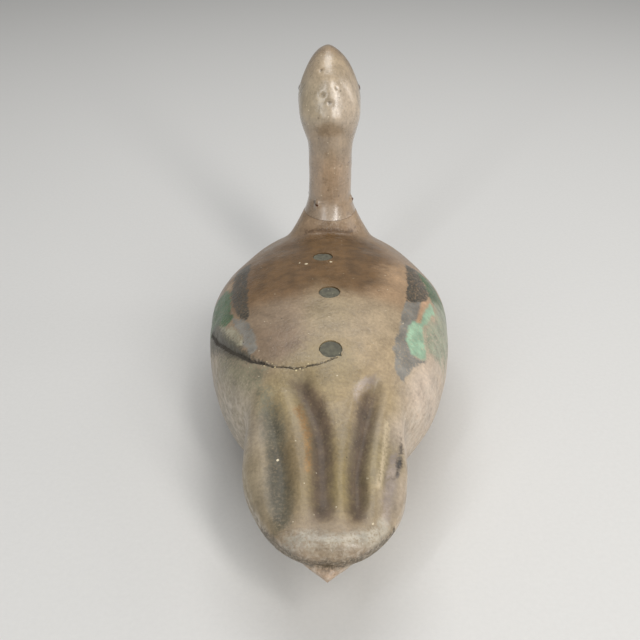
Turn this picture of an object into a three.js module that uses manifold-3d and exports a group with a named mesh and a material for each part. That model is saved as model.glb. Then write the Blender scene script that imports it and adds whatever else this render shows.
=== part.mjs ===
// A hollow-carved wooden duck decoy, as an assembly of its separate pieces.
// Units are millimetres. +Y points the way the bird faces, +X is its right side, +Z is up.
// Stations along the bird are first measured from the middle of its back, then the whole
// assembly is moved so that the origin lies under the middle of its bounding box.
import * as THREE from "three";
import { mergeVertices } from "three/addons/utils/BufferGeometryUtils.js";
import Module from "manifold-3d";

const wasm = await Module();
wasm.setup();

// ---------------------------------------------------------------- driving dimensions
const FIT = 0.3; // gap kept between pieces that touch
const SEAM_Z = 36; // level where the hollowed upper and lower bodies meet
const SEAL_THICKNESS = 0.6; // bedding compound squeezed between them
const HULL = { widest: 80, breast: 205, halfWidth: 89.5 };
const TAIL = { tip: -154.5, spread: 1.37 }; // the pointed tail under the wing tips
const WING = { tip: -150.5, straight: -82, halfWidth: 48.6 }; // the folded wings over the tail
const WALL = 17; // thickness left when the body was hollowed
const FLOOR = 18; // thickness left at the bottom, where the ballast is let in
const CAVITY = { rear: -84, front: 132 };
const LOWER_CAVITY = { rear: -27, front: 132 }; // the stern of the lower body is solid
const NECK = { y: 171, seatZ: 107, foot: 70, top: 172 };
const DOWEL = { radius: 8, bottom: 64, top: 146 };
const PLUG = { radius: 7, depth: 8, places: { front: [-5, 93], middle: [0, 37], rear: [1, -19] } };
const POST_RADIUS = 12; // posts left standing in the lower body under the plugs
const PEG = { radius: 3.2, length: 18, fromHollow: 5.5, stations: { front: 112, rear: 0 } };
const BALLAST = { width: 28, length: 112, thickness: 6, y: 16, corner: 4, recess: 0.4 };
const EYE = { radius: 4.6, y: 196, z: 198, x: 19.6 };
const LINE_EYE = { z: 25, wire: 1.6, loop: 5, reach: 9.5, embedded: 22, rise: 4 };
const RING = { radius: 9, wire: 1.4 };
const SEAL = { rear: -98, front: 197 };
const PLUG_SINK = 0.4; // the plugs lie just under the surface
const POST_CLEARANCE = 2.5; // from a post to the ceiling over it
const SEAM_GAP = SEAL_THICKNESS / 2 + FIT; // from the seam level to each body's face

// ---------------------------------------------------------------- small helpers
const clamp01 = (t) => Math.min(1, Math.max(0, t));

// A smooth curve through [station, value] points that never overshoots them.
function profile(points) {
  const slopes = points.slice(1).map(([y, v], i) => (v - points[i][1]) / (y - points[i][0]));
  const tangents = points.map((_, i) => {
    const before = slopes[i - 1] ?? slopes[i];
    const after = slopes[i] ?? before;
    return before * after <= 0 ? 0 : (2 * before * after) / (before + after);
  });
  return (y) => {
    const last = points.length - 1;
    if (y <= points[0][0]) return points[0][1];
    if (y >= points[last][0]) return points[last][1];
    const i = points.findIndex(([at]) => at > y) - 1;
    const span = points[i + 1][0] - points[i][0];
    const t = (y - points[i][0]) / span;
    const rise = points[i + 1][1] - points[i][1];
    const ease = t * t * (3 - 2 * t);
    const start = t * (1 - t) * (1 - t) * span * tangents[i];
    const end = t * t * (t - 1) * span * tangents[i + 1];
    return points[i][1] + rise * ease + start + end;
  };
}

// Stations from one end to the other, closer together near both rounded ends.
function stationsBetween(from, to, count) {
  const at = (i) => (1 - Math.cos((Math.PI * i) / count)) / 2;
  return Array.from({ length: count + 1 }, (_, i) => from + (to - from) * at(i));
}

// Distance from the centre of a superellipse to its edge at the angle phi.
function superRadius(phi, halfWidth, height, power) {
  const c = Math.abs(Math.cos(phi)) / Math.max(halfWidth, 1e-6);
  const s = Math.abs(Math.sin(phi)) / Math.max(height, 1e-6);
  return (c ** power + s ** power) ** (-1 / power);
}

// A closed solid through rings of points at successive stations; each end closes to a point.
function loft(startPole, rings, endPole) {
  const n = rings[0].length;
  const positions = [startPole, ...rings.flat(), endPole];
  const last = positions.length - 1;
  const index = [];
  for (let j = 0; j < n; j++) {
    const k = (j + 1) % n;
    index.push(0, 1 + j, 1 + k);
    for (let i = 0; i < rings.length - 1; i++) {
      const a = 1 + i * n;
      const b = a + n;
      index.push(a + j, b + k, a + k, a + j, b + j, b + k);
    }
    const end = 1 + (rings.length - 1) * n;
    index.push(last, end + k, end + j);
  }
  const geometry = new THREE.BufferGeometry();
  geometry.setAttribute("position", new THREE.Float32BufferAttribute(positions.flat(), 3));
  geometry.setIndex(index);
  return geometry;
}

function toSolid(geometry) {
  const plain = geometry.index ? geometry.toNonIndexed() : geometry.clone();
  for (const name of Object.keys(plain.attributes)) {
    if (name !== "position") plain.deleteAttribute(name);
  }
  const merged = mergeVertices(plain, 1e-4);
  const mesh = new wasm.Mesh({
    numProp: 3,
    vertProperties: new Float32Array(merged.attributes.position.array),
    triVerts: new Uint32Array(merged.index.array),
  });
  return new wasm.Manifold(mesh);
}

function toGeometry(solid) {
  const mesh = solid.getMesh();
  const geometry = new THREE.BufferGeometry();
  const points = new Float32Array(mesh.vertProperties);
  geometry.setAttribute("position", new THREE.BufferAttribute(points, 3));
  geometry.setIndex(new THREE.BufferAttribute(new Uint32Array(mesh.triVerts), 1));
  return geometry;
}

const cutAll = (solid, tools) => tools.reduce((left, tool) => left.subtract(tool), solid);

// A round rod between two points, widening from one radius to the other if both are given.
function rod(from, to, radius, segments = 16, endRadius = radius) {
  const a = new THREE.Vector3(...from);
  const b = new THREE.Vector3(...to);
  const along = new THREE.Vector3().subVectors(b, a);
  const geometry = new THREE.CylinderGeometry(endRadius, radius, along.length(), segments);
  const turn = new THREE.Quaternion().setFromUnitVectors(
    new THREE.Vector3(0, 1, 0),
    along.clone().normalize(),
  );
  geometry.applyQuaternion(turn);
  geometry.translate(...a.add(b).multiplyScalar(0.5).toArray());
  return geometry;
}

const uprightRod = ([x, y], low, high, radius, segments) =>
  rod([x, y, low], [x, y, high], radius, segments);

// ---------------------------------------------------------------- the hull's lines
// Half the hull's width behind its widest station, down to the paddle of the tail.
const afterbody = profile([
  [-155, 11],
  [-135, 16],
  [-110, 27],
  [-80, 38.5],
  [-58, 48.5],
  [-36, 62.7],
  [-12, 73.2],
  [22, 82.5],
  [50, 87.3],
  [HULL.widest, HULL.halfWidth],
]);
// Half the hull's width at the chine: a full round breast and a pointed tail.
function hullHalfWidth(y) {
  const front = clamp01((y - HULL.widest) / (HULL.breast - HULL.widest));
  const pointed = Math.max(0, y - TAIL.tip) * TAIL.spread;
  return Math.min(afterbody(y) * Math.sqrt(1 - front ** 2.25), pointed);
}

// Level at which the hull is widest, sweeping up towards the tail.
const chineZ = profile([
  [-155, 57.5],
  [-100, 60],
  [-50, 59],
  [0, 55],
  [45, 52],
  [205, 52],
]);

// Level of the back: flat over the shoulders, falling towards the tail.
const backLine = profile([
  [-155, 58],
  [-135, 63],
  [-110, 68],
  [-85, 78],
  [-50, 95.5],
  [-19, 106.2],
  [37, 112],
  [93, 106.8],
  [130, 101],
  [205, 94],
]);
const BREAST_TOP = 122; // where the back starts to roll over the breast
function backHeight(y) {
  const front = clamp01((y - BREAST_TOP) / (HULL.breast - BREAST_TOP));
  return (backLine(y) - chineZ(y)) * Math.sqrt(1 - front ** 2.3);
}
const backPower = profile([
  [-147, 2],
  [0, 2.25],
  [90, 2.1],
  [150, 1.65],
  [203, 1.9],
]);
const backZ = (y) => chineZ(y) + backHeight(y);

// Level that the bottom would reach if it were not planed off flat at the base.
const keelLine = profile([
  [-155, 52.5],
  [-128, 44],
  [-100, 35],
  [-70, 18],
  [-45, 4],
  [-20, -6],
  [15, -9],
  [110, -9],
  [150, -6],
  [205, 2],
]);
const BREAST_FOOT = 120; // where the bottom starts to rise to the breast
function keelDepth(y) {
  const front = clamp01((y - BREAST_FOOT) / (HULL.breast - BREAST_FOOT));
  return (chineZ(y) - keelLine(y)) * Math.sqrt(1 - front ** 2.6);
}
const keelPower = profile([
  [-60, 1.7],
  [30, 2.25],
]);

// Half the hull's width at a level below the chine.
function hullWidthAt(y, z) {
  const down = clamp01((chineZ(y) - z) / Math.max(keelDepth(y), 1e-6));
  return hullHalfWidth(y) * (1 - down ** keelPower(y)) ** (1 / keelPower(y));
}

// One ring of the hull's outside, anticlockwise as seen from behind the bird.
function hullRing(y, steps) {
  return Array.from({ length: steps }, (_, i) => {
    const phi = (2 * Math.PI * i) / steps;
    const above = Math.sin(phi) >= 0;
    const height = above ? backHeight(y) : keelDepth(y);
    const power = above ? backPower(y) : keelPower(y);
    const radius = superRadius(phi, hullHalfWidth(y), height, power);
    const z = Math.max(0, chineZ(y) + radius * Math.sin(phi));
    return [radius * Math.cos(phi), y, z];
  });
}

// ---------------------------------------------------------------- the folded wings
// A parallel-sided tongue with a rounded end that overhangs the tail.
function wingHalfWidth(y) {
  const end = clamp01((WING.straight - y) / (WING.straight - WING.tip));
  return WING.halfWidth * Math.sqrt(1 - end ** 2);
}
const wingTop = profile([
  [-151, 72.5],
  [-143, 74],
  [-128, 76.5],
  [-100, 82.5],
  [-80, 87],
  [-60, 92],
  [-30, 98],
  [0, 97],
]);
const wingUnder = profile([
  [-151, 59.5],
  [-145, 56],
  [-133, 53],
  [-115, 50],
  [0, 48],
]);
const WING_RIM = 9; // length over which the wing tips round off
// The wings were carved a little to the left of the middle.
const wingMiddle = profile([
  [-120, 0],
  [-92, -2],
  [-50, -2],
  [-10, 0],
]);

// The carver's flutes between the wing feathers, from their centre lines outwards.
const flute = (half, depth, from, centre) => ({ half, depth, from, centreX: profile(centre) });
const FLUTES = [
  flute(6.5, 2.6, -44, [
    [-136, -23],
    [-105, -25],
    [-56, -36],
  ]),
  flute(6, 2.4, -30, [
    [-138, -1],
    [-105, -2],
    [-80, -4],
    [-44, -17],
  ]),
  flute(5, 3, -26, [
    [-138, 16],
    [-105, 14],
    [-79, 18],
    [-41, 29],
  ]),
  flute(4.5, 2.4, -52, [
    [-132, 33],
    [-103, 35],
    [-70, 37],
  ]),
];
const FLUTE_END = -138;
function fluteDepth(x, y) {
  return FLUTES.reduce((sum, { half, depth, from, centreX }) => {
    const across = (x - centreX(y)) / half;
    const along = clamp01((from - y) / 16) * clamp01((y - FLUTE_END) / 10);
    return sum + depth * along * Math.exp(-across * across);
  }, 0);
}

function wingRing(y, steps) {
  const rim = clamp01((WING.tip + WING_RIM - y) / WING_RIM);
  const half = ((wingTop(y) - wingUnder(y)) / 2) * Math.sqrt(1 - rim ** 2.2);
  const middle = (wingTop(y) + wingUnder(y)) / 2;
  return Array.from({ length: steps }, (_, i) => {
    const phi = (2 * Math.PI * i) / steps;
    const full = superRadius(phi, wingHalfWidth(y), half, 2.7);
    const x = wingMiddle(y) + full * Math.cos(phi);
    const up = Math.max(0, Math.sin(phi));
    return [x, y, middle + full * Math.sin(phi) - fluteDepth(x, y) * up];
  });
}

function blockBetween(low, high) {
  const block = new THREE.BoxGeometry(400, 600, high - low);
  block.translate(0, 0, (low + high) / 2);
  return toSolid(block);
}

// ---------------------------------------------------------------- the hollow
// How far a station is from the middle of a cavity, from 0 to 1 at its ends.
function partOf({ rear, front }, y) {
  return clamp01(Math.abs(2 * y - front - rear) / (front - rear));
}
const wallWidth = (y) => hullHalfWidth(y) - WALL;
const hollowWidth = (cavity, y) => wallWidth(y) * (1 - partOf(cavity, y) ** 8) ** (1 / 4);
const rounding = (cavity, y) => Math.sqrt(1 - partOf(cavity, y) ** 6);
const ceilingZ = (y) => SEAM_Z + (backZ(y) - WALL - SEAM_Z) * rounding(CAVITY, y);

// A hollow from the seam, in rings of half a superellipse that start at the angle given.
function hollow(cavity, start, power, depthAt) {
  const steps = 12;
  const rings = stationsBetween(cavity.rear, cavity.front, 14)
    .slice(1, -1)
    .map((y) =>
      Array.from({ length: steps + 1 }, (_, i) => {
        const phi = start + (Math.PI * i) / steps;
        const radius = superRadius(phi, hollowWidth(cavity, y), depthAt(y), power);
        return [radius * Math.cos(phi), y, SEAM_Z + radius * Math.sin(phi)];
      }),
    );
  return toSolid(loft([0, cavity.rear, SEAM_Z], rings, [0, cavity.front, SEAM_Z]));
}
const upperHollow = hollow(CAVITY, 0, 2.3, (y) => ceilingZ(y) - SEAM_Z);
const lowerHollow = hollow(
  LOWER_CAVITY,
  Math.PI,
  4,
  (y) => (SEAM_Z - FLOOR) * rounding(LOWER_CAVITY, y),
);

// ---------------------------------------------------------------- neck and head
// Radius of the neck at a height, flaring into the shoulders below the joint.
const neckRadius = profile([
  [70, 46],
  [80, 38],
  [90, 31],
  [100, 25],
  [110, 19.6],
  [122, 17],
  [140, 16.8],
  [152, 17.3],
  [172, 18],
]);
const NECK_LEAN = 0.72; // how much of the flare goes backwards instead of forwards
function neckRing(z, steps) {
  const radius = neckRadius(z);
  const middle = NECK.y - (radius - neckRadius(NECK.top)) * NECK_LEAN;
  return Array.from({ length: steps }, (_, i) => {
    const phi = (2 * Math.PI * i) / steps;
    return [radius * Math.sin(phi), middle + radius * Math.cos(phi), z];
  });
}
function neckBetween(low, high, rows) {
  const steps = 26;
  const rings = Array.from({ length: rows + 1 }, (_, i) =>
    neckRing(low + ((high - low) * i) / rows, steps),
  );
  return toSolid(loft([0, rings[0][0][1] - 1, low], rings, [0, NECK.y, high]));
}

// The head's lines from its back to the tip of the bill.
const HEAD = { back: 151, tip: 262, backZ: 188, power: { above: 1.68, below: 2.3 } };
const LEAN = { from: 165, slope: -0.035 }; // the head tips slightly to the left above this level
const leanAt = (z) => Math.max(0, z - LEAN.from) * LEAN.slope;
const BILL_ROUND = 246; // where the bill's tip starts to round off
const NAPE_ROUND = 166; // where the back of the head starts to round off
const headHalfWidth = profile([
  [151, 14],
  [160, 19.8],
  [172, 23.4],
  [184, 24],
  [196, 21.5],
  [206, 17.5],
  [216, 12.6],
  [226, 10.2],
  [240, 10.2],
  [252, 10.8],
  [262, 9.6],
]);
const headTop = profile([
  [151, 198],
  [160, 213],
  [172, 223],
  [184, 229],
  [194, 231],
  [206, 229],
  [216, 223],
  [226, 215.5],
  [240, 210],
  [262, 205.5],
]);
const headBottom = profile([
  [151, 178],
  [160, 164],
  [172, 158],
  [186, 161],
  [198, 170],
  [208, 181],
  [216, 188],
  [226, 191.5],
  [240, 194],
  [262, 197.5],
]);
function headRing(y, steps) {
  const back = clamp01((NAPE_ROUND - y) / (NAPE_ROUND - HEAD.back));
  const front = clamp01((y - BILL_ROUND) / (HEAD.tip - BILL_ROUND));
  const round = Math.sqrt(1 - back ** 2.2) * Math.sqrt(1 - front ** 2.6);
  const middle = (headTop(y) + headBottom(y)) / 2;
  const height = ((headTop(y) - headBottom(y)) / 2) * round;
  return Array.from({ length: steps }, (_, i) => {
    const phi = (2 * Math.PI * i) / steps;
    const power = Math.sin(phi) >= 0 ? HEAD.power.above : HEAD.power.below;
    const radius = superRadius(phi, headHalfWidth(y) * round, height, power);
    const z = middle + radius * Math.sin(phi);
    return [radius * Math.cos(phi) + leanAt(z), y, z];
  });
}
function headSolid() {
  const rings = stationsBetween(HEAD.back, HEAD.tip, 22)
    .slice(1, -1)
    .map((y) => headRing(y, 24));
  const tipZ = (headTop(HEAD.tip) + headBottom(HEAD.tip)) / 2;
  const tip = [leanAt(tipZ), HEAD.tip, tipZ];
  return toSolid(loft([leanAt(HEAD.backZ), HEAD.back, HEAD.backZ], rings, tip));
}

// A glass eye on its wire, or with slack added, the socket that it sits in.
function eyeSolid(side, slack = 0) {
  const ball = new THREE.SphereGeometry(EYE.radius + slack, 12, 8);
  const x = side * EYE.x + leanAt(EYE.z);
  ball.translate(x, EYE.y, EYE.z);
  const wireEnd = [x - side * (13 + slack), EYE.y, EYE.z - 2];
  const wire = rod([x - side * 2, EYE.y, EYE.z], wireEnd, 0.8 + slack, 8);
  return toSolid(ball).add(toSolid(wire));
}

// ---------------------------------------------------------------- fasteners
// A point at a distance along a direction.
function along(at, direction, distance) {
  const step = new THREE.Vector3(...direction).multiplyScalar(distance);
  return new THREE.Vector3(...at).add(step).toArray();
}

// A countersunk screw with a slotted head, driven along a direction.
function screw(at, direction, { head, shank, length }) {
  const coneEnd = head * 0.7;
  const slot = new THREE.BoxGeometry(head * 2.4, head * 0.3, head * 0.5);
  slot.translate(...at);
  return toSolid(rod(at, along(at, direction, coneEnd), head, 14, shank))
    .subtract(toSolid(slot))
    .add(toSolid(rod(along(at, direction, coneEnd * 0.6), along(at, direction, length), shank, 8)));
}
// The hole for that screw, open at its head.
function screwHole(at, direction, { head, shank, length }) {
  const coneEnd = head * 0.7 + FIT;
  const above = along(at, direction, -1);
  const cone = rod(at, along(at, direction, coneEnd), head + FIT * 1.5, 14, shank + FIT);
  const mouth = rod(above, along(at, direction, 0.01), head + FIT * 1.5, 14);
  const foot = along(at, direction, length + FIT);
  return toSolid(cone)
    .add(toSolid(mouth))
    .add(toSolid(rod(along(at, direction, coneEnd * 0.6), foot, shank + FIT, 8)));
}

// A brad driven down from the neck's foot into the shoulders, and the hole it makes.
const NAIL = { head: 1.9, shank: 0.9, headDepth: 1.4, top: 17.4, topZ: 118, foot: 12.6, footZ: 84 };
const NAIL_ANGLES = { rear: -0.6, right: 1.35, front: 2.9, left: -2 };
function nail(angle) {
  const at = (radius, z) => [radius * Math.sin(angle), NECK.y - radius * Math.cos(angle), z];
  const [top, foot] = [at(NAIL.top, NAIL.topZ), at(NAIL.foot, NAIL.footZ)];
  const down = new THREE.Vector3(...foot).sub(new THREE.Vector3(...top));
  const direction = down.clone().normalize().toArray();
  const underHead = along(top, direction, NAIL.headDepth);
  const solid = toSolid(rod(top, foot, NAIL.shank, 8)).add(
    toSolid(rod(top, underHead, NAIL.head, 10)),
  );
  const above = along(top, direction, -8);
  const headFoot = along(top, direction, NAIL.headDepth + FIT);
  const below = along(foot, direction, FIT);
  const hole = toSolid(rod(above, below, NAIL.shank + FIT, 8)).add(
    toSolid(rod(above, headFoot, NAIL.head + FIT, 10)),
  );
  return { solid, hole };
}

function roundedRectangle(width, length, corner) {
  const w = width / 2;
  const l = length / 2;
  const shape = new THREE.Shape();
  shape.moveTo(-w + corner, -l);
  shape.lineTo(w - corner, -l);
  shape.absarc(w - corner, -l + corner, corner, -Math.PI / 2, 0);
  shape.lineTo(w, l - corner);
  shape.absarc(w - corner, l - corner, corner, 0, Math.PI / 2);
  shape.lineTo(-w + corner, l);
  shape.absarc(-w + corner, l - corner, corner, Math.PI / 2, Math.PI);
  shape.lineTo(-w, -l + corner);
  shape.absarc(-w + corner, -l + corner, corner, Math.PI, Math.PI * 1.5);
  return shape;
}
function plate(shape, low, high) {
  const geometry = new THREE.ExtrudeGeometry(shape, {
    depth: high - low,
    bevelEnabled: false,
    curveSegments: 4,
  });
  geometry.translate(0, 0, low);
  return geometry;
}

// ---------------------------------------------------------------- where the small pieces go
// The back screws sit under the plugs and pull the ceiling down on to the posts.
const BACK_SCREW = { head: 5, shank: 2.4, length: 56 };
const DOWNWARDS = [0, 0, -1];
const UPWARDS = [0, 0, 1];
const plugFloor = (y) => backZ(y) - PLUG.depth - FIT;
const backScrewAt = ([x, y]) => [x, y, plugFloor(y) - FIT - 0.5];

const BALLAST_SCREW = { head: 3.6, shank: 1.7, length: 14 };
const BALLAST_SCREWS = {
  front_left: [-8, 46],
  front_right: [8, 46],
  rear_left: [-8, -46],
  rear_right: [8, -46],
};
const ballastScrewAt = ([x, y]) => [x, BALLAST.y + y, BALLAST.recess + 0.4];
const ballastTop = BALLAST.recess + BALLAST.thickness;

const pegPlaces = Object.entries(PEG.stations).flatMap(([where, y]) => {
  const x = hollowWidth(CAVITY, y) + PEG.fromHollow;
  return [
    { name: `${where}_left_seam_peg`, x: -x, y },
    { name: `${where}_right_seam_peg`, x, y },
  ];
});
const pegLow = SEAM_Z - PEG.length / 2;
const pegHigh = SEAM_Z + PEG.length / 2;
const pegHoles = pegPlaces.map(({ x, y }) =>
  toSolid(rod([x, y, pegLow - FIT], [x, y, pegHigh + FIT], PEG.radius + FIT, 14)),
);
const dowelHole = toSolid(
  uprightRod([0, NECK.y], DOWEL.bottom - FIT, DOWEL.top + FIT, DOWEL.radius + FIT, 20),
);
const nails = Object.entries(NAIL_ANGLES).map(([where, angle]) => ({ where, ...nail(angle) }));
const nailHoles = nails.map(({ hole }) => hole);
const backScrewHoles = Object.values(PLUG.places).map((place) =>
  screwHole(backScrewAt(place), DOWNWARDS, BACK_SCREW),
);
const ballastScrewHoles = Object.values(BALLAST_SCREWS).map((place) =>
  screwHole(ballastScrewAt(place), UPWARDS, BALLAST_SCREW),
);

// How far forward the breast reaches at the line eye's height.
function breastAt(z) {
  let y = HULL.breast;
  while (keelDepth(y) < chineZ(y) - z) y -= 0.25;
  return y;
}
const lineEyeY = breastAt(LINE_EYE.z) + LINE_EYE.reach;
const lineEyeCentre = [0, lineEyeY, LINE_EYE.z];
const shankDirection = new THREE.Vector3(0, -LINE_EYE.reach - LINE_EYE.embedded, LINE_EYE.rise)
  .normalize()
  .toArray();
const shankLength = LINE_EYE.reach + LINE_EYE.embedded;
const shankHole = toSolid(
  rod(
    lineEyeCentre,
    along(lineEyeCentre, shankDirection, shankLength + FIT),
    LINE_EYE.wire + FIT,
    12,
  ),
);

// ---------------------------------------------------------------- the wooden pieces
function hullSolid() {
  const rings = stationsBetween(TAIL.tip, HULL.breast, 34)
    .slice(1, -1)
    .map((y) => hullRing(y, 44));
  return toSolid(
    loft([0, TAIL.tip, chineZ(TAIL.tip)], rings, [0, HULL.breast, chineZ(HULL.breast)]),
  );
}
function wingSolid() {
  const rings = stationsBetween(WING.tip, 0, 26)
    .slice(1, -1)
    .map((y) => wingRing(y, 40));
  const middle = (y) => (wingTop(y) + wingUnder(y)) / 2;
  return toSolid(loft([0, WING.tip, middle(WING.tip)], rings, [0, 0, middle(0)]));
}
const hull = hullSolid();
const topBlock = blockBetween(SEAM_Z + SEAM_GAP, 400);
const bottomBlock = blockBetween(-50, SEAM_Z - SEAM_GAP);

function upperBody() {
  const shoulders = neckBetween(NECK.foot, NECK.seatZ - FIT / 2, 7);
  const outside = hull.intersect(topBlock).add(wingSolid()).add(shoulders);
  const plugHoles = Object.values(PLUG.places).map(([x, y]) =>
    toSolid(uprightRod([x, y], plugFloor(y), backZ(y) + 8, PLUG.radius + FIT, 20)),
  );
  return cutAll(outside, [
    upperHollow,
    ...plugHoles,
    ...backScrewHoles,
    ...pegHoles,
    dowelHole,
    ...nailHoles,
  ]);
}

function lowerBody() {
  const posts = Object.values(PLUG.places).map(([x, y]) => {
    const ceiling = Math.min(ceilingZ(y - POST_RADIUS), ceilingZ(y), ceilingZ(y + POST_RADIUS));
    return toSolid(uprightRod([x, y], FLOOR - 4, ceiling - POST_CLEARANCE, POST_RADIUS, 20));
  });
  const ballastHole = plate(
    roundedRectangle(BALLAST.width + 2 * FIT, BALLAST.length + 2 * FIT, BALLAST.corner),
    -1,
    ballastTop + FIT,
  );
  ballastHole.translate(0, BALLAST.y, 0);
  const shell = hull.intersect(bottomBlock).subtract(lowerHollow);
  return cutAll(
    posts.reduce((sum, post) => sum.add(post), shell),
    [toSolid(ballastHole), ...ballastScrewHoles, ...backScrewHoles, ...pegHoles, shankHole],
  );
}

// The bedding compound in the seam, a thin ring that follows the hull's outline.
function seamSeal() {
  const inset = 1.5;
  const mirrored = (side) => [...side, ...side.map(([x, y]) => [-x, y]).reverse()];
  const asPoints = (list) => list.map(([x, y]) => new THREE.Vector2(x, y));
  const outer = stationsBetween(SEAL.rear, SEAL.front, 26).map((y) => [
    Math.max(0.5, hullWidthAt(y, SEAM_Z) - inset),
    y,
  ]);
  const inner = stationsBetween(CAVITY.rear, CAVITY.front, 18)
    .slice(1, -1)
    .map((y) => [hollowWidth(CAVITY, y) + inset, y]);
  const shape = new THREE.Shape(asPoints(mirrored(outer)));
  shape.holes.push(new THREE.Path(asPoints(mirrored(inner).reverse())));
  const band = plate(shape, SEAM_Z - SEAL_THICKNESS / 2, SEAM_Z + SEAL_THICKNESS / 2);
  return cutAll(toSolid(band), pegHoles);
}

// ---------------------------------------------------------------- all the pieces
const solids = {
  upper_body: upperBody(),
  lower_body: lowerBody(),
  seam_seal: seamSeal(),
  head_and_neck: cutAll(headSolid().add(neckBetween(NECK.seatZ + FIT / 2, NECK.top, 9)), [
    dowelHole,
    ...nailHoles,
    eyeSolid(-1, FIT),
    eyeSolid(1, FIT),
  ]),
  neck_dowel: toSolid(uprightRod([0, NECK.y], DOWEL.bottom, DOWEL.top, DOWEL.radius, 20)),
  left_eye: eyeSolid(-1),
  right_eye: eyeSolid(1),
};
for (const [where, [x, y]] of Object.entries(PLUG.places)) {
  solids[`${where}_back_plug`] = toSolid(
    uprightRod([x, y], plugFloor(y) + FIT, backZ(y) - PLUG_SINK, PLUG.radius, 20),
  );
  solids[`${where}_body_screw`] = screw(backScrewAt([x, y]), DOWNWARDS, BACK_SCREW);
}
for (const { name, x, y } of pegPlaces) {
  solids[name] = toSolid(rod([x, y, pegLow], [x, y, pegHigh], PEG.radius, 14));
}
for (const { where, solid } of nails) solids[`${where}_neck_nail`] = solid;

const strip = plate(
  roundedRectangle(BALLAST.width, BALLAST.length, BALLAST.corner),
  BALLAST.recess,
  ballastTop,
);
strip.translate(0, BALLAST.y, 0);
solids.lead_ballast = cutAll(toSolid(strip), ballastScrewHoles);
for (const [where, place] of Object.entries(BALLAST_SCREWS)) {
  solids[`${where}_ballast_screw`] = screw(ballastScrewAt(place), UPWARDS, BALLAST_SCREW);
}

// The line tie: a screw eye in the breast, with a ring hanging through it.
const loop = new THREE.TorusGeometry(LINE_EYE.loop, LINE_EYE.wire, 10, 20);
loop.rotateY(Math.PI / 2);
loop.translate(...lineEyeCentre);
const shank = rod(
  along(lineEyeCentre, shankDirection, LINE_EYE.loop),
  along(lineEyeCentre, shankDirection, shankLength),
  LINE_EYE.wire,
  12,
);
solids.line_eye = toSolid(loop).add(toSolid(shank));
const wireMiddle = LINE_EYE.z - LINE_EYE.loop + LINE_EYE.wire + FIT + RING.wire;
const ring = new THREE.TorusGeometry(RING.radius, RING.wire, 10, 24);
ring.translate(0, wireMiddle - RING.radius, 0);
ring.rotateX(Math.PI / 2);
ring.translate(0, lineEyeY, 0);
solids.line_ring = toSolid(ring);

// ---------------------------------------------------------------- materials and meshes
const finish = (color, roughness, metalness = 0) =>
  new THREE.MeshStandardMaterial({ color, roughness, metalness });
const FINISHES = {
  upper_body: finish(0x9a8462, 0.42),
  lower_body: finish(0xa9967a, 0.55),
  head_and_neck: finish(0x9c8768, 0.38),
  seam_seal: finish(0xb9b29e, 0.8),
  back_plug: finish(0x5b594d, 0.6),
  seam_peg: finish(0xb58f5e, 0.7),
  neck_dowel: finish(0xb58f5e, 0.7),
  lead_ballast: finish(0x6c6f73, 0.55, 0.7),
  eye: finish(0x1a120b, 0.08),
  iron: finish(0x4a3f37, 0.6, 0.8),
};
function finishOf(name) {
  if (name === "line_eye") return FINISHES.iron;
  const kind = Object.keys(FINISHES).find((key) => name.endsWith(key));
  return FINISHES[kind ?? "iron"];
}

const decoy = new THREE.Group();
for (const [name, solid] of Object.entries(solids)) {
  const mesh = new THREE.Mesh(toGeometry(solid), finishOf(name));
  mesh.name = name;
  decoy.add(mesh);
}
// Put the origin under the middle of the bounding box.
const box = new THREE.Box3().setFromObject(decoy);
decoy.position.y = -(box.min.y + box.max.y) / 2;

export default decoy;
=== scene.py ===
import math

import bmesh
import bpy
import numpy as np
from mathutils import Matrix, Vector, noise


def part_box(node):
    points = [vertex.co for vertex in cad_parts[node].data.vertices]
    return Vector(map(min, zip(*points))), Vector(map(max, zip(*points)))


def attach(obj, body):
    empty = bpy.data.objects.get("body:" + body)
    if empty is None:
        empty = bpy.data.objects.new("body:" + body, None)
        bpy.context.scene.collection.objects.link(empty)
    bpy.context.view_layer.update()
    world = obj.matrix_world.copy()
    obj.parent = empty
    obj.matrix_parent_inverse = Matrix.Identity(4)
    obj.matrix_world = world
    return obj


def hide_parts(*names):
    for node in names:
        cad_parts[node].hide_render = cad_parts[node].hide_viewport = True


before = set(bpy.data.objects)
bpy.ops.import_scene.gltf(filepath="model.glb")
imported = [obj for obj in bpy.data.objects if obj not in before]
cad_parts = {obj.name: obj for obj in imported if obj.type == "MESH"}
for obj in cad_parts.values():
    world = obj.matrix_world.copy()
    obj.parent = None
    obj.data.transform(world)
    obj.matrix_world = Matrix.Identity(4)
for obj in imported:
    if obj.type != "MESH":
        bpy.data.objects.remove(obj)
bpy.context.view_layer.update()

PLUG_STATIONS = {"front": 93, "middle": 37, "rear": -19}


def node_box(name):
    """Lowest and highest corner of a CAD node, in millimetres and stations."""
    low, high = (np.array(corner) * 1000 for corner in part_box(name))
    low[1] -= SHIFT
    high[1] -= SHIFT
    return low, high


_low, _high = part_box("middle_back_plug")
SHIFT = (_low[1] + _high[1]) * 500 - PLUG_STATIONS["middle"]


def upright(name):
    """The (x, station) of an upright CAD node's axis, its lowest level and its highest."""
    low, high = node_box(name)
    return tuple((low + high)[:2] / 2), low[2], high[2]


def to_frame(points):
    moved = np.asarray(points, float) + (0, SHIFT, 0)
    return moved / 1000


def to_stations(points):
    return np.asarray(points, float) * 1000 - (0, SHIFT, 0)


# ---------------------------------------------------------------- curves and noise
def clamp01(value):
    return np.clip(value, 0, 1)


def smoothstep(low, high, value):
    t = clamp01((value - low) / (high - low))
    return t * t * (3 - 2 * t)


def bell(value, width, power=2):
    """1 where value is 0, falling off to nothing over about twice that width."""
    return np.exp(-((value / width) ** power))


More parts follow.
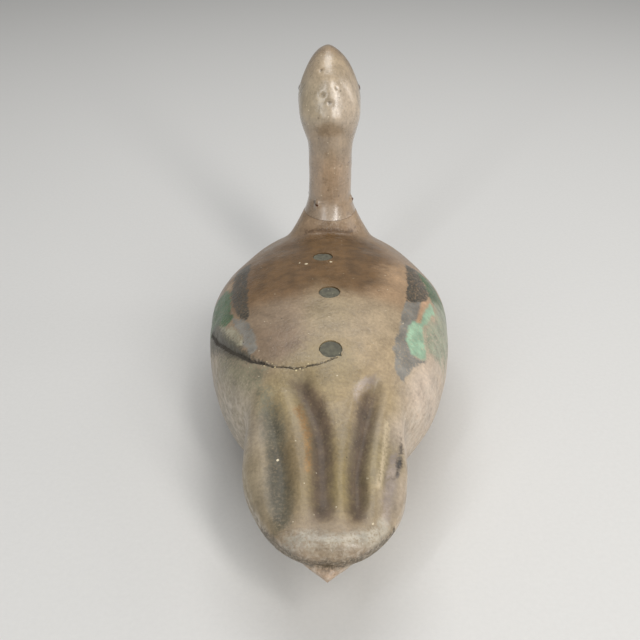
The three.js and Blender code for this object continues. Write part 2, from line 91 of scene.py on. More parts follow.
def profile(*points):
    """A smooth curve through (station, value) points that never overshoots them."""
    at, values = np.array(points, float).T
    slopes = np.diff(values) / np.diff(at)
    tangents = np.concatenate([slopes[:1], np.zeros(len(at) - 2), slopes[-1:]])
    for i, (before, after) in enumerate(zip(slopes, slopes[1:]), 1):
        if before * after > 0:
            tangents[i] = 2 * before * after / (before + after)

    def curve(y):
        y = np.clip(y, at[0], at[-1])
        i = np.clip(np.searchsorted(at, y, side="right") - 1, 0, len(at) - 2)
        span = at[i + 1] - at[i]
        t = (y - at[i]) / span
        ease = values[i] + (values[i + 1] - values[i]) * t * t * (3 - 2 * t)
        start = t * (1 - t) ** 2 * span * tangents[i]
        return ease + start + t * t * (t - 1) * span * tangents[i + 1]

    return curve


def stations_between(start, end, count):
    """Stations from one end to the other, closer together near both ends."""
    return start + (end - start) * (1 - np.cos(np.pi * np.arange(count + 1) / count)) / 2


def turns(steps):
    return 2 * np.pi * np.arange(steps) / steps


def super_radius(phi, half_width, height, power):
    c = np.abs(np.cos(phi)) / np.maximum(half_width, 1e-6)
    s = np.abs(np.sin(phi)) / np.maximum(height, 1e-6)
    return (c**power + s**power) ** (-1 / power)


def lumps(points, size, seed=0, stretch=(1, 1, 1)):
    """Smooth noise from about -1 to 1, with lumps of about that size in millimetres."""
    scaled = points / (np.array(stretch) * size) + 31.7 * seed
    return np.array([noise.noise(p) for p in scaled.tolist()])


# ---------------------------------------------------------------- the carved outside
HULL = {"widest": 80, "breast": 205, "half_width": 89.5}
TAIL = {"tip": -154.5, "spread": 1.37}
WING = {"tip": -150.5, "straight": -82, "half_width": 48.6, "rim": 9}
SEAM_Z = 36
SEAM_GAP = 0.6  # half the gap that the putty fills
NECK_GAP = 0.15  # half the gap between the neck and its seat
FIT = 0.3  # clearance of a hole round what goes in it
VOXEL = {"body": 1.32, "head": 0.8, "lead": 0.9}
NECK = {"y": 171, "seat": 107, "foot": 70, "top": 172, "lean": 0.72}

afterbody = profile(
    (-155, 11), (-135, 16), (-110, 27), (-80, 38.5), (-58, 48.5), (-36, 62.7),
    (-12, 73.2), (22, 82.5), (50, 87.3), (HULL["widest"], HULL["half_width"]),
)
chine = profile((-155, 57.5), (-100, 60), (-50, 59), (0, 55), (45, 52), (205, 52))
back_line = profile(
    (-155, 58), (-135, 63), (-110, 68), (-85, 78), (-50, 95.5), (-19, 106.2), (37, 112),
    (93, 106.8), (130, 101), (205, 94),
)
back_power = profile((-147, 2), (0, 2.25), (90, 2.1), (150, 1.65), (203, 1.9))
keel_line = profile(
    (-155, 52.5), (-128, 44), (-100, 35), (-70, 18), (-45, 4), (-20, -6), (15, -9), (110, -9),
    (150, -6), (205, 2),
)
keel_power = profile((-60, 1.7), (30, 2.25))
wing_middle = profile((-120, 0), (-92, -2), (-50, -2), (-10, 0))
wing_top = profile(
    (-151, 72.5), (-143, 74), (-128, 76.5), (-100, 82.5), (-80, 87), (-60, 92), (-30, 98), (0, 97),
)
wing_under = profile((-151, 59.5), (-145, 56), (-133, 53), (-115, 50), (0, 48))
neck_radius = profile(
    (70, 46), (80, 38), (90, 31), (100, 25), (110, 19.6), (122, 17), (140, 16.8), (152, 17.3),
    (172, 18),
)


def rounded(y, start, power):
    """From 1 at the station where the hull starts to round off down to 0 at the breast."""
    front = clamp01((y - start) / (HULL["breast"] - start))
    return np.sqrt(1 - front**power)


def hull_half_width(y):
    pointed = np.maximum(0, y - TAIL["tip"]) * TAIL["spread"]
    return np.minimum(afterbody(y) * rounded(y, HULL["widest"], 2.25), pointed)


def back_height(y):
    return (back_line(y) - chine(y)) * rounded(y, 122, 2.3)


def keel_depth(y):
    return (chine(y) - keel_line(y)) * rounded(y, 120, 2.6)


def back_z(y):
    return chine(y) + back_height(y)


def hull_ring(y, steps=220):
    phi = turns(steps)
    above = np.sin(phi) >= 0
    height = np.where(above, back_height(y), keel_depth(y))
    power = np.where(above, back_power(y), keel_power(y))
    radius = super_radius(phi, hull_half_width(y), height, power)
    level = np.maximum(0, chine(y) + radius * np.sin(phi))
    return np.column_stack([radius * np.cos(phi), np.full(steps, y), level])


def wing_ring(y, steps=180):
    phi = turns(steps)
    end = clamp01((WING["straight"] - y) / (WING["straight"] - WING["tip"]))
    rim = clamp01((WING["tip"] + WING["rim"] - y) / WING["rim"])
    half = (wing_top(y) - wing_under(y)) / 2 * np.sqrt(1 - rim**2.2)
    width = WING["half_width"] * np.sqrt(1 - end**2)
    radius = super_radius(phi, width, half, 2.7)
    level = (wing_top(y) + wing_under(y)) / 2 + radius * np.sin(phi)
    return np.column_stack([wing_middle(y) + radius * np.cos(phi), np.full(steps, y), level])


def neck_ring(z, steps=120):
    phi = turns(steps)
    radius = neck_radius(z)
    middle = NECK["y"] - (radius - neck_radius(NECK["top"])) * NECK["lean"]
    across = radius * np.sin(phi)
    return np.column_stack([across, middle + radius * np.cos(phi), np.full(steps, z)])


# ---------------------------------------------------------------- meshes
def new_object(name, points, faces):
    """A mesh object from points in millimetres and stations."""
    mesh = bpy.data.meshes.new(name)
    mesh.from_pydata(to_frame(points).tolist(), [], faces)
    mesh.update()
    obj = bpy.data.objects.new(name, mesh)
    bpy.context.scene.collection.objects.link(obj)
    return obj


def loft(name, start, rings, end):
    """A closed mesh through rings of points, closing to a point at each end."""
    rings = np.array(rings)
    count, steps = rings.shape[:2]
    points = np.vstack([[start], rings.reshape(-1, 3), [end]])
    last = len(points) - 1
    foot = 1 + (count - 1) * steps
    faces = []
    for j in range(steps):
        k = (j + 1) % steps
        faces.append((0, 1 + j, 1 + k))
        faces.append((last, foot + k, foot + j))
        for a in range(1, foot, steps):
            faces.append((a + j, a + steps + j, a + steps + k, a + k))
    return new_object(name, points, faces)


def lathe(name, at, outline, steps=32, wobble=None, out=(0, 0, 1)):
    """A closed turning from (radius, distance along out) points, about a line through at."""
    out = np.array(out, float)
    first = np.array((1.0, 0, 0)) if out[2] else np.array((0, out[0], 0))
    second = np.cross(first, out)
    phi = turns(steps)
    scale = np.ones(steps) if wobble is None else wobble(phi)
    round_it = np.outer(scale * np.cos(phi), first) + np.outer(scale * np.sin(phi), second)
    at = np.array([*at, 0, 0][:3], float)
    rings = [at + radius * round_it + level * out for radius, level in outline]
    return loft(name, at + outline[0][1] * out, rings, at + outline[-1][1] * out)


def bore(at, low, high, radius, steps=32, wobble=None):
    return lathe("bore", at, [(radius, low), (radius, high)], steps, wobble)


def closed_band(name, rings):
    """A mesh through rings of points, the last joined to the first."""
    count, steps = len(rings), len(rings[0])
    faces = [
        (i * steps + j, k * steps + j, k * steps + (j + 1) % steps, i * steps + (j + 1) % steps)
        for i in range(count)
        for k in [(i + 1) % count]
        for j in range(steps)
    ]
    return new_object(name, np.vstack(rings), faces)


def tube(name, path, radii, steps=16, closed=False, across=(1, 0, 0)):
    """A round tube along a path square to across; closed makes it a ring."""
    path = np.array(path, float)
    radii = np.broadcast_to(radii, len(path))
    if closed:
        ahead = np.roll(path, -1, 0) - np.roll(path, 1, 0)
    else:
        ahead = np.gradient(path, axis=0)
    ahead /= np.linalg.norm(ahead, axis=1)[:, None]
    side = np.cross(ahead, across)
    side /= np.linalg.norm(side, axis=1)[:, None]
    up = np.cross(side, ahead)
    phi = turns(steps)
    rings = [
        p + r * (np.outer(np.cos(phi), s) + np.outer(np.sin(phi), u))
        for p, r, s, u in zip(path, radii, side, up)
    ]
    if not closed:
        return loft(name, path[0], rings, path[-1])
    return closed_band(name, rings)


def bake(obj):
    """Turns an object's modifiers into its mesh."""
    graph = bpy.context.evaluated_depsgraph_get()
    mesh = bpy.data.meshes.new_from_object(obj.evaluated_get(graph))
    obj.modifiers.clear()
    old = obj.data
    obj.data = mesh
    bpy.data.meshes.remove(old)
    return obj


def combine(obj, operation, *tools):
    """Joins solids to a solid, or cuts it with them. The tools are used up."""
    for tool in tools:
        modifier = obj.modifiers.new("combine", "BOOLEAN")
        modifier.operation = operation
        modifier.solver = "MANIFOLD"
        modifier.object = tool
        bake(obj)
        bpy.data.objects.remove(tool)
    return obj


def join(obj, *tools):
    return combine(obj, "UNION", *tools)


def cut(obj, *tools):
    return combine(obj, "DIFFERENCE", *tools)


def duplicate(obj, name):
    twin = bpy.data.objects.new(name, obj.data.copy())
    bpy.context.scene.collection.objects.link(twin)
    return twin


def remesh(obj, voxel, smoothing):
    """One even skin over a solid, with its creases eased."""
    modifier = obj.modifiers.new("skin", "REMESH")
    modifier.mode = "VOXEL"
    modifier.voxel_size = voxel / 1000
    modifier = obj.modifiers.new("ease", "SMOOTH")
    modifier.factor = 0.5
    modifier.iterations = smoothing
    return bake(obj)


def ease(obj, weights, rounds):
    """Smooths a mesh further where weights(points) is above 0, to fillet its inner corners."""
    group = obj.vertex_groups.new(name="ease")
    for index, weight in enumerate(weights(coordinates(obj)).tolist()):
        if weight > 0:
            group.add([index], weight, "REPLACE")
    modifier = obj.modifiers.new("ease", "SMOOTH")
    modifier.factor = 0.5
    modifier.iterations = rounds
    modifier.vertex_group = "ease"
    bake(obj)
    obj.vertex_groups.clear()


def coordinates(obj):
    flat = np.empty(len(obj.data.vertices) * 3)
    obj.data.vertices.foreach_get("co", flat)
    return to_stations(flat.reshape(-1, 3))


def normals(obj):
    flat = np.empty(len(obj.data.vertices) * 3, np.float32)
    obj.data.vertex_normals.foreach_get("vector", flat)
    return flat.reshape(-1, 3)


def reshape(obj, points):
    obj.data.vertices.foreach_set("co", to_frame(points).ravel())
    obj.data.update()


def refine(obj, near, cuts=1):
    """Divides the edges whose ends both satisfy near(points)."""
    chosen = near(coordinates(obj))
    mesh = bmesh.new()
    mesh.from_mesh(obj.data)
    mesh.verts.ensure_lookup_table()
    edges = [e for e in mesh.edges if chosen[e.verts[0].index] and chosen[e.verts[1].index]]
    bmesh.ops.subdivide_edges(mesh, edges=edges, cuts=cuts, use_grid_fill=True)
    bmesh.ops.triangulate(mesh, faces=[f for f in mesh.faces if len(f.verts) > 4])
    mesh.to_mesh(obj.data)
    mesh.free()


BOX_FACES = [(0, 2, 3, 1), (4, 5, 7, 6), (0, 1, 5, 4), (2, 6, 7, 3), (0, 4, 6, 2), (1, 3, 7, 5)]


def block(low, high, half=300):
    """Everything between two levels, to cut with."""
    corners = [(x, y, z) for z in (low, high) for y in (-half, half) for x in (-half, half)]
    return new_object("block", corners, BOX_FACES)


def slab(name, low, high, corner, foot=None, bevel=0.0):
    """An upright plate with rounded corners, and its top edges rounded over if bevel is given."""
    bottom = low[2] if foot is None else foot
    arcs = np.concatenate([np.linspace(q, q + np.pi / 2, 8) for q in np.pi / 2 * np.arange(4)])
    middle = (low + high) / 2
    half = (high - low) / 2

    def ring(level, inset):
        quarter = np.repeat([(1, 1), (-1, 1), (-1, -1), (1, -1)], 8, axis=0)
        round_it = np.column_stack([np.cos(arcs), np.sin(arcs)])
        edge = quarter * (half[:2] - corner) + (corner - inset) * round_it
        return np.column_stack([middle[:2] + edge, np.full(len(arcs), level)])[::-1]

    rings = [ring(bottom, bevel)]
    for a in (0.5, 1, math.pi / 2) if bevel else ():
        rings.append(ring(bottom + bevel * (1 - math.cos(a)), bevel * (1 - math.sin(a))))
    rings.append(ring(high[2], 0))
    return loft(name, [*middle[:2], bottom], rings, [*middle[:2], high[2]])


def finish_piece(obj, slot_name, *nodes, body="decoy", angle=40):
    """Makes a mesh a piece of the object: shaded smooth, riding its body, in its nodes' place."""
    obj.data.shade_smooth()
    obj.data.set_sharp_from_angle(angle=math.radians(angle))
    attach(obj, body)
    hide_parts(*nodes)
    return obj


# ---------------------------------------------------------------- marks on the surface
def path_place(x, y, path):
    """Distance of each point from a path in plan, and how far along it from 0 to 1."""
    path = np.array(path, float)
    lengths = np.linalg.norm(np.diff(path, axis=0), axis=1)
    before = np.concatenate([[0], np.cumsum(lengths)])
    best = np.full(len(x), 1e9)
    place = np.zeros(len(x))
    for a, b, length, start in zip(path, path[1:], lengths, before):
        along = (b - a) / length
        t = np.clip((x - a[0]) * along[0] + (y - a[1]) * along[1], 0, length)
        gap = np.hypot(x - a[0] - along[0] * t, y - a[1] - along[1] * t)
        nearer = gap < best
        best = np.where(nearer, gap, best)
        place = np.where(nearer, (start + t) / before[-1], place)
    return best, place


def outline_distance(x, y, outline):
    """Signed distance from a closed outline in plan, negative inside it."""
    corners = np.array(outline, float)
    gap, _ = path_place(x, y, [*outline, outline[0]])
    inside = np.zeros(len(x), bool)
    for (ax, ay), (bx, by) in zip(corners, np.roll(corners, -1, 0)):
        if ay == by:
            continue
        crosses = (ay > y) != (by > y)
        inside ^= crosses & (x < ax + (bx - ax) * (y - ay) / (by - ay))
    return np.where(inside, -gap, gap)


# The carver's flutes between the wing feathers: half-width, depth, foremost station and
# centre line, given as (station, x).
FLUTES = [
    (7.5, 4.2, -40, profile((-136, -24), (-105, -26), (-56, -36))),
    (7.5, 4.2, -26, profile((-138, -2), (-105, -3), (-80, -5), (-44, -17))),
    (5.8, 5.0, -28, profile((-138, 16), (-105, 16), (-79, 20), (-41, 29))),
    (5, 3.4, -54, profile((-132, 33), (-103, 35), (-70, 38))),
]
FLUTE_END = -139
RIM_RIDGE = -143
CRACK = [
    (-84, 45), (-77, 25), (-70, 11), (-64, 1), (-51, -16), (-35, -28), (-22, -32), (-6, -31),
    (5, -26),
]
RIM_CRACK = [(43, -68), (43, -76), (41, -90), (38, -99)]
FEATHER_EDGE = [(12, -69), (14, -56), (18, -46), (24, -39), (29, -35)]
# A raised ridge on the right wing, painted along its top with a highlight.
RIDGE_WITH_PAINTED_HIGHLIGHT = [(35, -64), (33, -81), (31, -94), (28, -108)]
CREAM_DROPS = [
    (0, 10, 1), (38, 23, 0.8), (61, 1, 0.9), (-47, -73, 0.8), (-44, -86, 0.7), (-29, -90, 1),
    (22, -103, 0.9), (-17, 81, 1.5), (-22, 84, 1.1), (1, 83, 1.3), (10, 64, 0.7), (17, 57, 0.8),
    (49, 15, 0.7), (-61, 113, 0.8), (24, -131, 0.9), (-12, 55, 0.7),
]
DENTS = [(-11, 22, 9, 0.5), (30, 60, 7, 0.4), (-35, 62, 8, 0.5), (12, -8, 6, 0.3), (58, -40, 10, 0.6)]


def crack_width(along):
    """Half the width of the open crack, from the left side to the rear plug."""
    return np.interp(along, [0, 0.1, 0.35, 0.6, 0.72, 1], [0.5, 1.5, 1.7, 1.3, 0.5, 0.3])


def flute_depth(x, y):
    total = np.zeros(len(x))
    for half, depth, start, centre in FLUTES:
        along = smoothstep(start, start - 20, y) * smoothstep(FLUTE_END, FLUTE_END + 24, y)
        total += depth * along * bell(x - centre(y), half)
    return total


def carve_marks(obj):
    """Flutes, cracks, tool marks and wear, pressed into the even skin of the body."""
    p = coordinates(obj)
    n = normals(obj)
    x, y, z = p.T
    upward = clamp01(n[:, 2] * 1.6)
    push = -flute_depth(x, y) * upward
    push += 1.1 * bell(y - RIM_RIDGE + 1.5 * lumps(p, 12, 9), 4.5) * upward
    push += 0.34 * lumps(p, 24, 1) + 0.16 * lumps(p, 9, 2, (1, 2.2, 1)) + 0.07 * lumps(p, 3.5, 3)
    gap, along = path_place(x, y, CRACK)
    jagged = gap + 0.5 * lumps(p, 4, 4)
    width = crack_width(along)
    push -= (0.35 + 0.9 * width) * bell(jagged, width) * (z > 50)
    gap, _ = path_place(x, y, RIM_CRACK)
    push -= 1.1 * bell(gap + 0.3 * lumps(p, 3, 5), 1.1) * (n[:, 2] > 0.1)
    gap, along = path_place(x, y, FEATHER_EDGE)
    push += 1.5 * np.sin(np.pi * (0.12 + 0.8 * along)) * bell(gap, 2.6) * upward
    gap, _ = path_place(x, y, RIDGE_WITH_PAINTED_HIGHLIGHT)
    push += 0.6 * bell(gap, 1.6) * upward
    for dx, dy, radius, depth in DENTS:
        push -= depth * bell(np.hypot(x - dx, y - dy), radius) * upward
    for dx, dy, radius in CREAM_DROPS:
        push += 0.35 * bell(np.hypot(x - dx, y - dy), radius, 4) * upward
    # The joint at the neck opens into a ragged line.
    at_neck = bell(z - NECK["seat"] - 0.8 * lumps(p, 9, 6), 1.1)
    push -= 0.25 * at_neck * (np.hypot(x, y - NECK["y"]) < 30)
    reshape(obj, p + n * push[:, None])


# ---------------------------------------------------------------- the body's wood
WALL, FLOOR = 17, 18
CAVITY = (-84, 132)
LOWER_CAVITY = (-27, 132)
DOWEL = {"radius": 8, "bottom": 64, "top": 146}
PLUG_STEPS = 72
HOLE_RADIUS = {"plug": 7.3, "screw_head": 5.4, "screw": 2.7, "peg": 3.5, "ballast_screw": 2}
POST_RADIUS = 12
CORNERS = ("front_left", "front_right", "rear_left", "rear_right")


def part_of(cavity, y):
    return clamp01(np.abs(2 * y - cavity[1] - cavity[0]) / (cavity[1] - cavity[0]))


def hollow_width(cavity, y):
    return (hull_half_width(y) - WALL) * (1 - part_of(cavity, y) ** 8) ** 0.25


def ceiling(y):
    return (back_z(y) - WALL - SEAM_Z) * np.sqrt(1 - part_of(CAVITY, y) ** 6)


def lower_depth(y):
    return (SEAM_Z - FLOOR) * np.sqrt(1 - part_of(LOWER_CAVITY, y) ** 6)


def hollow(cavity, start, power, depth_at):
    rings = []
    for y in stations_between(*cavity, 24)[1:-1]:
        phi = start + np.pi * np.arange(25) / 24
        radius = super_radius(phi, hollow_width(cavity, y), depth_at(y), power)
        level = SEAM_Z + radius * np.sin(phi)
        rings.append(np.column_stack([radius * np.cos(phi), np.full(25, y), level]))
    return loft("hollow", [0, cavity[0], SEAM_Z], rings, [0, cavity[1], SEAM_Z])


def plug_edge(where):
    """The uneven outline of a plug and its hole, as a scale at each angle."""
    seed = list(PLUG_STATIONS).index(where) + 1

    def wobble(phi):
        round_it = np.column_stack([np.cos(phi), np.sin(phi), 0 * phi]) * 8
        drip = 0.26 * bell(phi - 0.73, 0.13) if where == "rear" else 0
        return 1 + 0.03 * lumps(round_it, 4, seed) + 0.012 * lumps(round_it, 1.5, seed) + drip

    return wobble


def wing_valley(p):
    """The valley between the wings and the flanks, as a weight from 0 to 1."""
    x, y, z = p.T
    edge = np.abs(np.abs(x - wing_middle(y)) - WING["half_width"] * 0.93)
    return smoothstep(17, 7, edge) * smoothstep(-112, -84, y) * smoothstep(-12, -40, y) * (z > 45)


def neck_foot(p):
    """The foot of the neck's flare, as a weight from 0 to 1."""
    gap = np.hypot(p[:, 0], p[:, 1] - 160)
    return smoothstep(48, 38, gap) * smoothstep(18, 26, gap) * (p[:, 2] > 70) * (p[:, 2] < 104)


def near_path(path, reach, lowest):
    """A test of which points lie near a path in plan and above a level."""
    return lambda p: (path_place(p[:, 0], p[:, 1], path)[0] < reach) & (p[:, 2] > lowest)


def carved_hull():
    """The body in one piece, with its wings, shoulders and marks."""
    hull = loft(
        "hull",
        [0, TAIL["tip"], chine(TAIL["tip"])],
        [hull_ring(y) for y in stations_between(TAIL["tip"], HULL["breast"], 170)[1:-1]],
        [0, HULL["breast"], chine(HULL["breast"])],
    )
    wings = loft(
        "wings",
        [0, WING["tip"], (wing_top(WING["tip"]) + wing_under(WING["tip"])) / 2],
        [wing_ring(y) for y in stations_between(WING["tip"], 0, 110)[1:-1]],
        [0, 0, (wing_top(0) + wing_under(0)) / 2],
    )
    shoulders = loft(
        "shoulders",
        [0, NECK["y"] - 22, NECK["foot"]],
        [neck_ring(z) for z in np.linspace(NECK["foot"], NECK["seat"] + 6, 30)],
        [0, NECK["y"], NECK["seat"] + 6],
    )
    join(hull, wings, shoulders)
    remesh(hull, VOXEL["body"], 8)
    ease(hull, lambda p: wing_valley(p) + neck_foot(p), 60)
    refine(hull, near_path(CRACK, 5, 50))
    refine(hull, near_path(CRACK, 2.6, 50))
    refine(hull, near_path(RIM_CRACK, 4, 70))
    carve_marks(hull)
    return hull


def peg_holes(obj):
    for corner in CORNERS:
        at, low, high = upright(f"{corner}_seam_peg")
        cut(obj, bore(at, low - FIT, high + FIT, HOLE_RADIUS["peg"]))


def cut_upper_body(upper):
    """The neck seat, the hollow under the back and the holes for plugs, screws and dowel."""
    neck_cut = bore((0, NECK["y"]), NECK["seat"] - NECK_GAP, 401, 60)
    combine(upper, "INTERSECT", cut(block(SEAM_Z + SEAM_GAP, 400), neck_cut))
    cutters = hollow(CAVITY, 0, 2.3, ceiling)
    for where in PLUG_STATIONS:
        at, low, high = upright(f"{where}_back_plug")
        ragged = plug_edge(where)
        plug_hole = bore(at, low - FIT, high + 8, HOLE_RADIUS["plug"], PLUG_STEPS, ragged)
        screw_head_hole = bore(at, low - 12, low + 1, HOLE_RADIUS["screw_head"])
        join(cutters, plug_hole, screw_head_hole)
    peg_holes(upper)
    cut(upper, cutters)
    dowel_hole = bore((0, NECK["y"]), DOWEL["bottom"] - FIT, 130, DOWEL["radius"] + FIT)
    cut(upper, dowel_hole)


def cut_lower_body(lower):
    """The hollow, with its screw posts, and the holes for screws, lead and line eye."""
    peg_holes(lower)
    combine(lower, "INTERSECT", block(-50, SEAM_Z - SEAM_GAP))
    cut(lower, hollow(LOWER_CAVITY, np.pi, 4, lower_depth))
    for where, station in PLUG_STATIONS.items():
        at, _, _ = upright(f"{where}_back_plug")
        post_top = SEAM_Z + ceiling(station) - 6
        join(lower, bore(at, FLOOR - 4, post_top, POST_RADIUS))
        _, screw_foot, _ = upright(f"{where}_body_screw")
        cut(lower, bore(at, screw_foot - FIT, 120, HOLE_RADIUS["screw"], 16))
    low, high = node_box("lead_ballast")
    cut(lower, slab("recess", low - FIT, high + FIT, 4, foot=-2))
    for corner in CORNERS:
        at, _, high = upright(f"{corner}_ballast_screw")
        screw_hole = bore(at, 2, high + FIT, HOLE_RADIUS["ballast_screw"], 16)
        cut(lower, screw_hole)
    low, high = node_box("line_eye")
    shank = [(0, high[1] - 8, 25), (0, low[1] - 0.4, 25 + (high[1] - 8 - low[1]) * 0.127)]
    cut(lower, tube("shank", shank, [1.9, 1.9]))


def body_pieces():
    upper = carved_hull()
    lower = duplicate(upper, "lower_body_carved")
    upper.name = "upper_body_carved"
    cut_upper_body(upper)
    cut_lower_body(lower)
    return upper, lower


# ---------------------------------------------------------------- the head's wood
HEAD = {"back": 151, "tip": 262, "back_z": 188}
EYE = {"socket": 4.9, "x": 19.6, "y": 196, "z": 198}
head_half_width = profile(
    (151, 14), (160, 19.8), (172, 23.4), (184, 24), (196, 21.5), (206, 17.5), (216, 12.6),
    (226, 10.2), (240, 10.2), (252, 10.8), (262, 9.6),
)
head_top = profile(
    (151, 198), (160, 213), (172, 223), (184, 229), (194, 231), (206, 229), (216, 223),
    (226, 215.5), (240, 210), (262, 205.5),
)
head_bottom = profile(
    (151, 178), (160, 164), (172, 158), (186, 161), (198, 170), (208, 181), (216, 188),
    (226, 191.5), (240, 194), (262, 197.5),
)
gape = profile((206, 194), (216, 197), (240, 199.5), (262, 200.5))
HEAD_PITS = [
    (-7, 171, 220, 1.6, 0.7), (-6, 158, 206, 1.7, 0.9), (-1, 155, 201, 2.2, 0.9),
    (4, 161, 210, 1.2, 0.5), (-9, 154, 190, 1.2, 0.5), (8, 156, 150, 1.3, 0.5),
    (-4, 154, 136, 1.1, 0.5), (5, 154, 128, 1.2, 0.5), (-12, 160, 118, 2.2, 0.6),
]


def lean(z):
    """The head tips slightly to the left."""
    return -0.035 * np.maximum(0, z - 165)


def head_ring(y, steps=140):
    phi = turns(steps)
    back = clamp01((166 - y) / (166 - HEAD["back"]))
    front = clamp01((y - 246) / (HEAD["tip"] - 246))
    ease = np.sqrt(1 - back**2.2) * np.sqrt(1 - front**2.6)
    height = (head_top(y) - head_bottom(y)) / 2 * ease
    power = np.where(np.sin(phi) >= 0, 1.68, 2.3)
    radius = super_radius(phi, head_half_width(y) * ease, height, power)
    z = (head_top(y) + head_bottom(y)) / 2 + radius * np.sin(phi)
    return np.column_stack([radius * np.cos(phi) + lean(z), np.full(steps, y), z])


def bill_edge(p):
    """How far in front of the line where the face meets the bill, in millimetres."""
    return p[:, 1] - 213.5 - 0.28 * np.abs(p[:, 2] - 203)


def eye_place(side):
    return np.array([side * EYE["x"] + lean(EYE["z"]), EYE["y"], EYE["z"]])


def carve_head(obj):
    p = coordinates(obj)
    n = normals(obj)
    x, y, z = p.T
    push = 0.3 * lumps(p, 15, 1) + 0.14 * lumps(p, 5, 2, (1, 1, 1.8)) + 0.05 * lumps(p, 2, 3)
    for px, py, pz, radius, depth in HEAD_PITS:
        gap = np.linalg.norm(p - (px, py, pz), axis=1) + 0.4 * lumps(p, 1.5, 4)
        push -= depth * bell(gap, radius)
    on_bill = smoothstep(-1.2, 1.2, bill_edge(p))
    push -= 0.7 * on_bill
    push -= 0.6 * bell(z - gape(y), 0.6) * smoothstep(206, 214, y)
    nostril = np.exp(-(((y - 229) / 3.4) ** 2) - ((z - 208.5) / 1.3) ** 2)
    push -= 1.5 * nostril * (np.abs(x - lean(z)) > 3)
    nail = bell(np.abs(x - lean(z)), 3.6, 4) * smoothstep(252.5, 254, y)
    push += 0.45 * nail * (z > 200)
    for side in (-1, 1):
        gap = np.linalg.norm(p - eye_place(side), axis=1)
        push += 0.6 * bell(gap - 6.2, 1.1)
    at_neck = bell(z - NECK["seat"] - 0.8 * lumps(p, 9, 6), 1.1)
    push -= 0.15 * at_neck
    for name in ("rear", "right", "front", "left"):
        low, high = node_box(f"{name}_neck_nail")
        top = np.array([*(low + high)[:2] / 2, high[2] - 0.7])
        top[:2] += (top[:2] - (0, NECK["y"])) * 0.17
        push += 1.3 * bell(np.linalg.norm(p - top, axis=1), 3.4, 4)
    reshape(obj, p + n * push[:, None])


def head_piece():
    head = loft(
        "head_and_neck_carved",
        [lean(HEAD["back_z"]), HEAD["back"], HEAD["back_z"]],
        [head_ring(y) for y in stations_between(HEAD["back"], HEAD["tip"], 120)[1:-1]],
        [lean(201.5), HEAD["tip"], 201.5],
    )
    neck = loft(
        "neck",
        [0, 167, 100],
        [neck_ring(z) for z in np.linspace(100, NECK["top"], 50)],
        [0, NECK["y"], NECK["top"]],
    )
    join(head, neck)
    remesh(head, VOXEL["head"], 8)
    ease(head, lambda p: smoothstep(146, 156, p[:, 2]) * smoothstep(190, 174, p[:, 2]), 320)
    refine(head, lambda p: np.abs(p[:, 2] - 199) + np.maximum(0, 222 - p[:, 1]) * 3 < 12)
    carve_head(head)
    combine(head, "INTERSECT", block(NECK["seat"] + NECK_GAP, 400))
    dowel_hole = bore((0, NECK["y"]), 90, DOWEL["top"] + FIT, DOWEL["radius"] + FIT)
    cut(head, dowel_hole)
    for side in (-1, 1):
        arc = np.linspace(-np.pi / 2 + 0.1, np.pi / 2 - 0.1, 16)
        ball = [(EYE["socket"] * math.cos(a), EYE["socket"] * math.sin(a)) for a in arc]
        socket = lathe("socket", eye_place(side), ball, 32, out=(side, 0, 0))
        stem = lathe("stem", eye_place(side), [(1.1, -12.6), (1.1, -2)], 12, out=(side, 0, 0))
        cut(head, socket, stem)
    return head


# ---------------------------------------------------------------- the small pieces
def plug(where):
    at, low, high = upright(f"{where}_back_plug")
    outline = [
        (7.15, low), (7.2, high - 1.2), (7.15, high - 0.5), (6.7, high - 0.2), (5.6, high - 0.4),
        (3.6, high - 0.75), (1.6, high - 0.9), (0.2, high - 0.92),
    ]
    obj = lathe(f"{where}_plug_filler", at, outline, PLUG_STEPS, plug_edge(where))
    p = coordinates(obj)
    top = p[:, 2] > high - 1.3
    slope = back_z(p[:, 1]) - back_z(at[1])
    p[:, 2] += np.where(top, slope + 0.16 * lumps(p, 2.2, 1), 0)
    reshape(obj, p)
    return finish_piece(obj, "plug_filler", f"{where}_back_plug")


def glass_eye(side):
    outline = [
        (0.1, -12.2), (0.8, -12), (0.8, -3.4), (3.2, -3), (4.3, -1.2), (4.6, 0.3), (4.45, 1.5),
        (3.9, 2.6), (3, 3.5), (1.9, 4.15), (0.9, 4.5), (0.1, 4.6),
    ]
    name = "left" if side < 0 else "right"
    obj = lathe(f"{name}_glass_eye", eye_place(side), outline, 40, out=(side, 0, 0))
    return finish_piece(obj, "eye_glass", f"{name}_eye")


def hull_width_at(y, z):
    down = clamp01((chine(y) - z) / np.maximum(keel_depth(y), 1e-6))
    return hull_half_width(y) * (1 - down ** keel_power(y)) ** (1 / keel_power(y))


